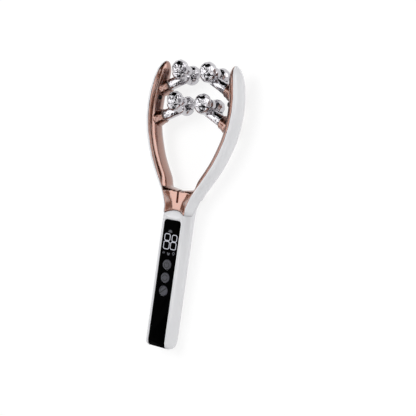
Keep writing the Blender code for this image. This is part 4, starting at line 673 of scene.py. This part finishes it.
# Cells of the digits, upper and lower of each: middle, and half width and half height
STROKE = 0.58
CELL_CUT = 1.1
DIGIT_CELLS = (
    ((-2.85, 85.65), (2.75, 2.85)), ((-2.85, 79.50), (2.80, 3.20)),
    ((3.60, 85.50), (2.45, 2.80)), ((3.30, 79.70), (2.75, 3.10)),
)
# A fan of leaves above the digits: its middle and radius, its leaves' length and width, and their turns
FAN_MIDDLE = Vector((-1.0, 89.6))
FAN_RADIUS = 1.1
FAN_LEAF = (2.1, 0.9)
FAN_TURNS = (-75, -38, 0, 38, 75)
# Leaves below the digits: middle, length, width and turn. The last sign is a leaf's outline.
LOW_LEAVES = (
    ((-5.0, 73.5), 2.0, 0.7, -20), ((-3.9, 73.5), 2.0, 0.7, -20),
    ((-0.6, 73.4), 2.0, 1.0, 45), ((0.7, 73.3), 2.0, 1.0, -40), ((0.0, 72.5), 2.0, 1.0, 90),
)
OUTLINED_LEAF = ((4.5, 74.0), 3.0, 2.1, 0)
LEAF_STROKE = 0.45
LEAF_STEPS = 8


def glow_film(name, colour, strength):
    """Film lit from behind."""
    material, tree, shader, place = finish_of(name)
    spots = add_node(tree, "ShaderNodeTexNoise", {"Vector": place, "Scale": per_metre(LAMP_MILLIMETRES)})
    level = add_node(tree, "ShaderNodeMapRange",
                     {"Value": spots.outputs["Fac"], "To Min": (1 - LAMP_UNEVENNESS) * strength,
                      "To Max": (1 + LAMP_UNEVENNESS) * strength})
    fill_sockets(shader, {"Base Color": linear(PANEL_BLACK), "Roughness": 0.5, "Specular IOR Level": 0.05,
                          "Emission Color": linear(colour), "Emission Strength": level.outputs["Result"]})
    return material


def film_shape(outline, level, stroke=None):
    """A flat shape on a face from its outline, filled, or as a line of that width inside it."""
    bm = bmesh.new()
    face = bm.faces.new([bm.verts.new((x, y, level)) for x, y in outline])
    bm.normal_update()
    if stroke:
        bmesh.ops.inset_region(bm, faces=[face], thickness=stroke, use_boundary=True, use_even_offset=True)
        bmesh.ops.delete(bm, geom=[face], context="FACES")
    grown = bmesh.ops.extrude_face_region(bm, geom=bm.faces[:])["geom"]
    grown_verts = [item for item in grown if isinstance(item, bmesh.types.BMVert)]
    bmesh.ops.translate(bm, vec=(0, 0, FILM), verts=grown_verts)
    bmesh.ops.recalc_face_normals(bm, faces=bm.faces)
    return bm


def cell_outline(middle, half, cut):
    """A rectangle with its corners cut off."""
    (x, y), (a, b) = middle, half
    return [(x + a, y - b + cut), (x + a, y + b - cut), (x + a - cut, y + b), (x - a + cut, y + b),
            (x - a, y + b - cut), (x - a, y - b + cut), (x - a + cut, y - b), (x + a - cut, y - b)]


def leaf_outline(middle, length, width, degrees):
    """A pointed leaf, turned about its middle."""
    shares = [step / LEAF_STEPS for step in range(LEAF_STEPS)]
    right = [(width / 2 * math.sin(math.pi * share), length * (share - 0.5)) for share in shares]
    left = [(-x, -y) for x, y in right]
    c, s = math.cos(math.radians(degrees)), math.sin(math.radians(degrees))
    return [(middle[0] + x * c - y * s, middle[1] + x * s + y * c) for x, y in right + left]


# Light of small lamps through black acrylic: a cool white glow, a little brighter over each lamp
lit = glow_film("lit_display_film", DIGIT_COLOUR, DIGIT_GLOW)
dim = glow_film("dim_display_film", SIGN_COLOUR, SIGN_GLOW)

figures = [film_shape(cell_outline(middle, half, CELL_CUT), PANEL_FACE, stroke=STROKE)
           for middle, half in DIGIT_CELLS]
dress(piece_from(in_frame(joined(figures)), "display_digits", FILM_SHARP), lit, "black_panel", "massager")

leaves = list(LOW_LEAVES)
for degrees in FAN_TURNS:
    turn = math.radians(degrees)
    leaf_middle = FAN_MIDDLE + FAN_RADIUS * Vector((math.sin(turn), math.cos(turn)))
    leaves.append((leaf_middle, *FAN_LEAF, -degrees))
signs = [film_shape(leaf_outline(*leaf), PANEL_FACE) for leaf in leaves]
signs.append(film_shape(leaf_outline(*OUTLINED_LEAF), PANEL_FACE, stroke=LEAF_STROKE))
dress(piece_from(in_frame(joined(signs)), "display_signs", FILM_SHARP), dim, "black_panel", "massager")


# Buttons: three round caps of grained ABS under silicone lacquer, each with its sign pad printed in a
# darker tone. A flange keeps each behind the front plate, and it presses its switch on the board.
BUTTON_GREYS = ("#44444A", "#4D4D54")
INK_BLACKS = ("#050506", "#0C0C0E")
GRAIN_MILLIMETRES = 0.3
GRAIN_DEPTH = 0.03
BUTTON_SHARP = math.radians(30)
BUTTON_FACE = 8.94
BUTTON_HEIGHTS = {"button_top": 64.80, "button_middle": 54.70, "button_bottom": 44.60}
ARC_STEPS = 20


def arc_outline(middle, radius, width, start, end):
    """A band of that width round part of a circle, between two angles in degrees."""
    outline = []
    turns = [math.radians(start + (end - start) * step / ARC_STEPS) for step in range(ARC_STEPS + 1)]
    for edge, way in ((radius + width / 2, turns), (radius - width / 2, reversed(turns))):
        outline += [(middle[0] + edge * math.cos(turn), middle[1] + edge * math.sin(turn)) for turn in way]
    return outline


def bar_outline(start, end, width):
    """A straight bar of that width between two points."""
    run = (Vector(end) - Vector(start)).normalized() * width / 2
    side = Vector((-run.y, run.x))
    return [tuple(Vector(p) + q) for p, q in ((start, -side), (end, -side), (end, side), (start, side))]


# The signs about their buttons' middles: a ring with a bar, two arcs, and a slanted bar with an arc
BUTTON_SIGNS = {
    "button_top": (
        arc_outline(middle=(0, -0.3), radius=2.1, width=0.65, start=120, end=420),
        bar_outline(start=(0, 0.3), end=(0, 2.5), width=0.65),
    ),
    "button_middle": (
        arc_outline(middle=(0, 0), radius=2.2, width=0.65, start=20, end=180),
        arc_outline(middle=(0, 0), radius=2.2, width=0.65, start=205, end=355),
    ),
    "button_bottom": (
        bar_outline(start=(-2.5, -2.0), end=(2.4, 2.3), width=0.95),
        arc_outline(middle=(-0.6, 0.7), radius=2.0, width=0.55, start=75, end=215),
    ),
}

# Grained ABS under silicone lacquer: a soft, broad sheen and no clear reflection. The real grain is finer
# and is drawn this coarse to show.
grained_abs, tree, shader, grain = mottled("fine_grained_grey_abs", GRAIN_MILLIMETRES, BUTTON_GREYS,
                                           {"Specular IOR Level": 0.3})
rough = add_node(tree, "ShaderNodeMapRange", {"Value": grain, "To Min": 0.50, "To Max": 0.62})
tooth = add_node(tree, "ShaderNodeBump",
                 {"Height": grain, "Strength": 0.25, "Distance": GRAIN_DEPTH * MILLIMETRE})
fill_sockets(shader, {"Roughness": rough.outputs["Result"], "Normal": tooth.outputs["Normal"]})
# Pad print ink: a matt, darker tone, laid on a little unevenly
sign_ink, *_ = mottled("dark_pad_print", GRAIN_MILLIMETRES, INK_BLACKS, {"Roughness": 0.55})

for button, height in BUTTON_HEIGHTS.items():
    dress(smooth_copy(button, BUTTON_SHARP), grained_abs, "button_grey", button, button)
    marks = [film_shape([(x, y + height) for x, y in outline], BUTTON_FACE)
             for outline in BUTTON_SIGNS[button]]
    sign = piece_from(in_frame(joined(marks)), button + "_sign", BUTTON_SHARP)
    dress(sign, sign_ink, "button_grey", button)


# Rollers: zinc castings with flat facets cut all over them, chrome plated and polished, so that each
# facet mirrors something else. They run on plain bushes on the axle of their arm.
CHROME = "#C2C0C4"
HANDLING_MILLIMETRES = 2.5
WAVE_MILLIMETRES = 2.2
WAVE_DEPTH = 0.4
ROLLER_RADIUS = 6.3
# Rows of facets: latitude towards the blind side, number round, shift in facets, distance from the middle
FACET_ROWS = (
    (0, 12, 0.0, 6.17), (27, 12, 0.5, 6.17), (-27, 12, 0.5, 6.17), (51, 9, 0.0, 6.12), (-51, 9, 0.0, 6.12),
    (73, 6, 0.5, 5.96),
)
# Facets of a row lean up and down by turns, in degrees
FACET_LEAN = 4.0
FACET_EDGE = 0.07
FACET_SHARP = math.radians(6)
FLAT_ENOUGH = math.radians(1)
BLIND_FACE = 5.66
INNER_FACE = 5.37
BORE_RADIUS = 2.9
BORE_FLOOR = 3.57
BORE_TURNS = 36
HUB_OUT = 12.9
ROLLER_OUT = 10.0
AXLE_TILT = math.radians(5.0)
AXLE_TOE_IN = math.radians(2.4)
ARMS = [(row, side) for row in ROLLER_ROWS for side in SIDES]
ENDS = {"front": 1, "rear": -1}

# Bright chrome over polished zinc: a clear mirror, hazed a little where it has been handled, with the
# waves of a buffed casting, which crumple what each facet shows
bright_chrome, tree, shader, place = finish_of("bright_chrome")
handled = add_node(tree, "ShaderNodeTexNoise", {"Vector": place, "Scale": per_metre(HANDLING_MILLIMETRES)})
mist = add_node(tree, "ShaderNodeMapRange",
                {"Value": handled.outputs["Fac"], "To Min": 0.03, "To Max": 0.08})
wave = add_node(tree, "ShaderNodeTexNoise", {"Vector": place, "Scale": per_metre(WAVE_MILLIMETRES)})
wavy = add_node(tree, "ShaderNodeBump", {"Height": wave.outputs["Fac"], "Strength": 1.0,
                                         "Distance": WAVE_DEPTH * MILLIMETRE})
fill_sockets(shader, {"Base Color": linear(CHROME), "Metallic": 1.0, "Roughness": mist.outputs["Result"],
                      "Normal": wavy.outputs["Normal"]})


def axle_way(side):
    """Along an axle from its rear roller to its front one: tilted up and toed in."""
    way = Vector((-side * math.sin(AXLE_TOE_IN), math.sin(AXLE_TILT), math.cos(AXLE_TILT)))
    return way.normalized()


def carved(solid, changes):
    """The mesh of a solid after other closed bmeshes are added to it or cut out of it."""
    items = []
    for shape in (solid, *(shape for operation, shape in changes)):
        mesh = bpy.data.meshes.new("blank")
        shape.to_mesh(mesh)
        shape.free()
        items.append(bpy.data.objects.new("blank", mesh))
        bpy.context.scene.collection.objects.link(items[-1])
    for (operation, shape), tool in zip(changes, items[1:]):
        change = items[0].modifiers.new("change", "BOOLEAN")
        change.operation = operation
        change.object = tool
        change.solver = "EXACT"
    bpy.context.view_layer.update()
    made = bpy.data.meshes.new_from_object(items[0].evaluated_get(bpy.context.evaluated_depsgraph_get()))
    for item in items:
        bpy.data.objects.remove(item)
    return made


def faceted_ball():
    """A ball cut with flat facets, bored from its inner side, its axle along Z."""
    bm = bmesh.new()
    bmesh.ops.create_icosphere(bm, subdivisions=1, radius=2 * ROLLER_RADIUS)
    cuts = [(Vector((0, 0, 1)), BLIND_FACE), (Vector((0, 0, -1)), INNER_FACE)]
    for latitude, count, shift, distance in FACET_ROWS:
        for step in range(count):
            lean = math.radians(latitude + (FACET_LEAN if step % 2 else -FACET_LEAN))
            turn = math.tau * (step + shift) / count
            cuts.append((Vector((math.cos(lean) * math.cos(turn), math.cos(lean) * math.sin(turn),
                                 math.sin(lean))), distance))
    for direction, distance in cuts:
        cut = bmesh.ops.bisect_plane(bm, geom=[*bm.verts, *bm.edges, *bm.faces], clear_outer=True,
                                     plane_co=direction * distance, plane_no=direction)["geom_cut"]
        bmesh.ops.contextual_create(bm, geom=[item for item in cut if isinstance(item, bmesh.types.BMEdge)])
    bmesh.ops.dissolve_limit(bm, angle_limit=FLAT_ENOUGH, verts=bm.verts, edges=bm.edges)
    bmesh.ops.recalc_face_normals(bm, faces=bm.faces)
    bmesh.ops.bevel(bm, geom=bm.edges[:], offset=FACET_EDGE, segments=1, profile=0.5, affect="EDGES",
                    material=-1)
    bore = bmesh.new()
    bmesh.ops.create_cone(bore, cap_ends=True, segments=BORE_TURNS, radius1=BORE_RADIUS,
                          radius2=BORE_RADIUS, depth=ROLLER_RADIUS - BORE_FLOOR)
    bmesh.ops.translate(bore, vec=(0, 0, (BORE_FLOOR - ROLLER_RADIUS) / 2), verts=bore.verts)
    return carved(bm, [("DIFFERENCE", bore)])


ball = faceted_ball()
for row, side in ARMS:
    height, lift = ROLLER_ROWS[row]
    hub = Vector((SIDES[side] * HUB_OUT, height, lift))
    for end, sign in ENDS.items():
        body = f"roller_{row}_{side}_{end}"
        bm = bmesh.new()
        bm.from_mesh(ball)
        way = axle_way(SIDES[side]) * sign
        bmesh.ops.transform(bm, matrix=along_axis(hub + way * ROLLER_OUT, way), verts=bm.verts)
        dress(piece_from(in_frame(bm), body + "_faceted", FACET_SHARP), bright_chrome, "chrome", body, body)


# Arms: chrome-plated zinc castings, each with a tapered bar, the hub that carries an axle, a yoke under it
# and a cup behind each roller. They stand in the liner's sockets, held by a screw from inside the tine.
ARM_LENGTH = 14.01
ARM_DROP = 5.6
ARM_END_RADIUS = 4.2
ARM_FLATNESS = 0.92
# Foot of the bar, turned about it: (radius, height)
ARM_FOOT = ((4.6, 0.5), (4.3, 0.0), (0, 0.0))
ARM_SHARP = math.radians(38)
ARM_JOIN = 1e-4
HUB_BARREL = (
    (0, 4.33), (2.9, 4.33), (3.1, 4.15), (4.1, 2.1), (4.2, 1.7), (4.2, -1.7), (4.1, -2.1), (3.1, -4.15),
    (2.9, -4.33), (0, -4.33),
)
YOKE_DROP = 5.9
YOKE_RADIUS = 3.1
CUP_RADIUS = 6.3
CUP_DROP = 2.9
CUP_INSET = 0.8
CUP_RIM_DROP = 1.2
# The room that a roller turns in: a ball with a flat towards the hub
ROOM_RADIUS = 7.0
ROOM_FACE = 5.52
# Facets round each shape, unlike so that no corners of two shapes meet
BAR_TURNS = 48
BARREL_TURNS = 46
YOKE_TURNS = 44
CUP_TURNS = 42
ROOM_TURNS = 52


def arc(radius, start, end, middle=0.0):
    """Profile points round an arc, from one angle above the base plane to another."""
    angles = [start + (end - start) * step / ARC_STEPS for step in range(ARC_STEPS + 1)]
    points = [(radius * math.cos(angle), middle + radius * math.sin(angle)) for angle in angles]
    return [(0 if abs(out) < JOIN_DISTANCE else out, height) for out, height in points]


def arm_mesh(side):
    """An arm whose hub's middle is at the origin."""
    root = Vector((0, -ARM_DROP, 0)) - toward_hub(side) * ARM_LENGTH
    profile = [*arc(ARM_END_RADIUS, math.pi / 2, 0, ARM_LENGTH), *ARM_FOOT]
    bar = spun(profile, BAR_TURNS, along_axis(root, toward_hub(side)))
    bmesh.ops.scale(bar, vec=(1, 1, ARM_FLATNESS), verts=bar.verts)
    way = axle_way(side)
    barrel = spun(HUB_BARREL, BARREL_TURNS, along_axis(Vector((0, 0, 0)), way))
    yoke_profile = ((0, ROLLER_OUT), (YOKE_RADIUS, ROLLER_OUT), (YOKE_RADIUS, -ROLLER_OUT), (0, -ROLLER_OUT))
    yoke = spun(yoke_profile, YOKE_TURNS, along_axis(Vector((0, -YOKE_DROP, 0)), way))
    changes = [("UNION", barrel), ("UNION", yoke)]
    cup_profile = [(0, CUP_RIM_DROP), *arc(CUP_RADIUS, math.asin(CUP_RIM_DROP / CUP_RADIUS), math.pi / 2)]
    for end in ENDS.values():
        cup_middle = way * end * (ROLLER_OUT - CUP_INSET) - Vector((0, CUP_DROP, 0))
        changes.append(("UNION", spun(cup_profile, CUP_TURNS, along_axis(cup_middle, Vector((0, -1, 0))))))
    room_profile = [(0, -ROOM_FACE), *arc(ROOM_RADIUS, -math.asin(ROOM_FACE / ROOM_RADIUS), math.pi / 2)]
    for end in ENDS.values():
        roller_room = spun(room_profile, ROOM_TURNS, along_axis(way * end * ROLLER_OUT, way * end))
        changes.append(("DIFFERENCE", roller_room))
    return carved(bar, changes)


arm_meshes = {side: arm_mesh(sign) for side, sign in SIDES.items()}
for row, side in ARMS:
    node = f"arm_{row}_{side}"
    height, lift = ROLLER_ROWS[row]
    bm = bmesh.new()
    bm.from_mesh(arm_meshes[side])
    bmesh.ops.remove_doubles(bm, verts=bm.verts, dist=ARM_JOIN)
    bmesh.ops.translate(bm, vec=(SIDES[side] * HUB_OUT, height, lift), verts=bm.verts)
    dress(piece_from(in_frame(bm), node + "_casting", ARM_SHARP), bright_chrome, "chrome", "massager", node)


# Domed plugs between the arms: small black ABS domes, injection moulded in a polished tool. Each is
# pressed on its stem into the liner, over the head of a screw.
PLUG_BLACKS = ("#030303", "#080808")
SWIRL_MILLIMETRES = 1.5
PLUG_SHARP = math.radians(38)

# ABS from a polished tool, unlacquered: near black with one small soft highlight
plug_abs, *_ = mottled("polished_black_abs", SWIRL_MILLIMETRES, PLUG_BLACKS,
                       {"Roughness": 0.18, "Specular IOR Level": 0.15})
for side in SIDES:
    node = f"dome_plug_{side}"
    dress(smooth_copy(node, PLUG_SHARP), plug_abs, "black_panel", "massager", node)


# Screws and axles: the two screws that clamp the handle's shells, the four in the tines that hold the
# arms, and the rollers' axles. Turned carbon steel, zinc plated. They keep the CAD nodes' shapes.
STEEL_GREYS = ("#A9A9AC", "#C4C4C8")
TOOL_MARK_MILLIMETRES = 0.25


def finish_nodes(material, *nodes):
    """Gives CAD nodes that stay as they are a better material."""
    for node in nodes:
        for slot in frame["nodes"][node].material_slots:
            slot.link = "OBJECT"
            slot.material = material


# Zinc-plated turned steel: bright grey metal, broken up by fine tool marks
turned_steel, tree, shader, marks = mottled("zinc_plated_turned_steel", TOOL_MARK_MILLIMETRES, STEEL_GREYS,
                                            {"Metallic": 1.0})
scored = add_node(tree, "ShaderNodeMapRange", {"Value": marks, "To Min": 0.25, "To Max": 0.38})
fill_sockets(shader, {"Roughness": scored.outputs["Result"]})
finish_nodes(turned_steel, "shell_screw_left", "shell_screw_right",
             *[f"{kind}_{row}_{side}" for kind in ("arm_screw", "axle") for row, side in ARMS])


# Roller bushes: plain acetal sleeves between the rollers and their axles. Injection moulded, each with a
# lip that snaps into its axle's groove.
ACETAL_WHITES = ("#E2DFD4", "#ECEAE2")
MILK_MILLIMETRES = 1.0
LIGHT_REACH_MILLIMETRES = 0.5

# Moulded acetal: milky and slightly waxy, with edges that let some light through
acetal, *_ = mottled("moulded_acetal", MILK_MILLIMETRES, ACETAL_WHITES,
                     {"Roughness": 0.42, "Subsurface Weight": 0.15,
                      "Subsurface Scale": LIGHT_REACH_MILLIMETRES * MILLIMETRE})
finish_nodes(acetal, *[f"bush_{row}_{side}_{end}" for row, side in ARMS for end in ENDS])


# Circuit board: glass-filled epoxy with copper tracks under green solder mask, cut with rounded corners.
# It lies under the buttons and carries their switches and the display.
BOARD_GREENS = ("#0C4A2A", "#0F5230")
TRACK_GREEN = "#1B7A46"
# A brick of this pattern is half of this long and a quarter of it high, and the lines between are tracks
TRACK_MILLIMETRES = 1.0
TRACK_SHARE = 0.08

# Solder mask over copper: a deep green gloss, with lighter lines where it covers a track
solder_mask, tree, shader, place = finish_of("green_solder_mask")
first_green, second_green = (linear(colour) for colour in BOARD_GREENS)
tracks = add_node(tree, "ShaderNodeTexBrick",
                  {"Vector": place, "Scale": per_metre(TRACK_MILLIMETRES), "Color1": first_green,
                   "Color2": second_green, "Mortar": linear(TRACK_GREEN), "Mortar Size": TRACK_SHARE})
fill_sockets(shader, {"Base Color": tracks.outputs["Color"], "Roughness": 0.32})
finish_nodes(solder_mask, "circuit_board")


# Display module and switch bodies: black liquid-crystal polymer and nylon, filled with glass fibre.
# Injection moulded with a matt grain and soldered to the board.
NYLON_BLACKS = ("#141416", "#222226")
FIBRE_MILLIMETRES = 0.4

# Glass-filled nylon: matt black, speckled where fibres reach the surface
matt_nylon, *_ = mottled("matt_black_nylon", FIBRE_MILLIMETRES, NYLON_BLACKS, {"Roughness": 0.55})
finish_nodes(matt_nylon, "display_module", "tact_switch_top", "tact_switch_middle", "tact_switch_bottom")


# Battery cell: a flat lithium cell in a pouch of embossed aluminium laminate. It lies on two low ribs of
# the rear shell, under the board.
LAMINATE_GREYS = ("#A4A6AC", "#C2C4CA")
EMBOSS_MILLIMETRES = 3.0
EMBOSS_DETAIL = 6.0
EMBOSS_DEPTH = 0.1

# Aluminium laminate: soft grey metal, creased all over by its embossing
laminate, tree, shader, crinkle = mottled("aluminium_laminate", EMBOSS_MILLIMETRES, LAMINATE_GREYS,
                                          {"Roughness": 0.34, "Metallic": 0.8}, detail=EMBOSS_DETAIL)
creases = add_node(tree, "ShaderNodeBump",
                   {"Height": crinkle, "Strength": 0.4, "Distance": EMBOSS_DEPTH * MILLIMETRE})
fill_sockets(shader, {"Normal": creases.outputs["Normal"]})
finish_nodes(laminate, "battery_cell")


# Vibration motor and charging socket: a deep-drawn can held between ribs of the rear shell, and a stamped
# shell in the handle's lower end. Both are thin steel, nickel plated.
NICKEL_GREYS = ("#B4B1A8", "#CBC8C0")
DRAWING_MILLIMETRES = 1.2

# Nickel over drawn steel: a warm grey metal, faintly clouded where it was drawn
nickel, *_ = mottled("nickel_plated_steel", DRAWING_MILLIMETRES, NICKEL_GREYS,
                     {"Roughness": 0.24, "Metallic": 1.0})
finish_nodes(nickel, "vibration_motor", "charging_socket")


# Motor weight: the half-round weight on the motor's shaft that shakes the handle as it spins. Pressed and
# sintered from tungsten powder.
TUNGSTEN_GREYS = ("#6E6C6A", "#8A8886")
PORE_MILLIMETRES = 0.15

# Sintered tungsten: dark, dull metal with fine pores
tungsten, *_ = mottled("sintered_tungsten", PORE_MILLIMETRES, TUNGSTEN_GREYS,
                       {"Roughness": 0.5, "Metallic": 1.0})
finish_nodes(tungsten, "motor_weight")


# Leads up the tines: stranded copper wires from the board to the upper arms' screws, laid in the liner's
# channel. Their red silicone rubber is extruded over the strands.
SILICONE_REDS = ("#7E1210", "#981A16")
STRAND_MILLIMETRES = 0.6

# Extruded silicone rubber: a satin red, mottled a little by the strands beneath
silicone, *_ = mottled("red_silicone_insulation", STRAND_MILLIMETRES, SILICONE_REDS, {"Roughness": 0.45})
finish_nodes(silicone, "lead_left", "lead_right")
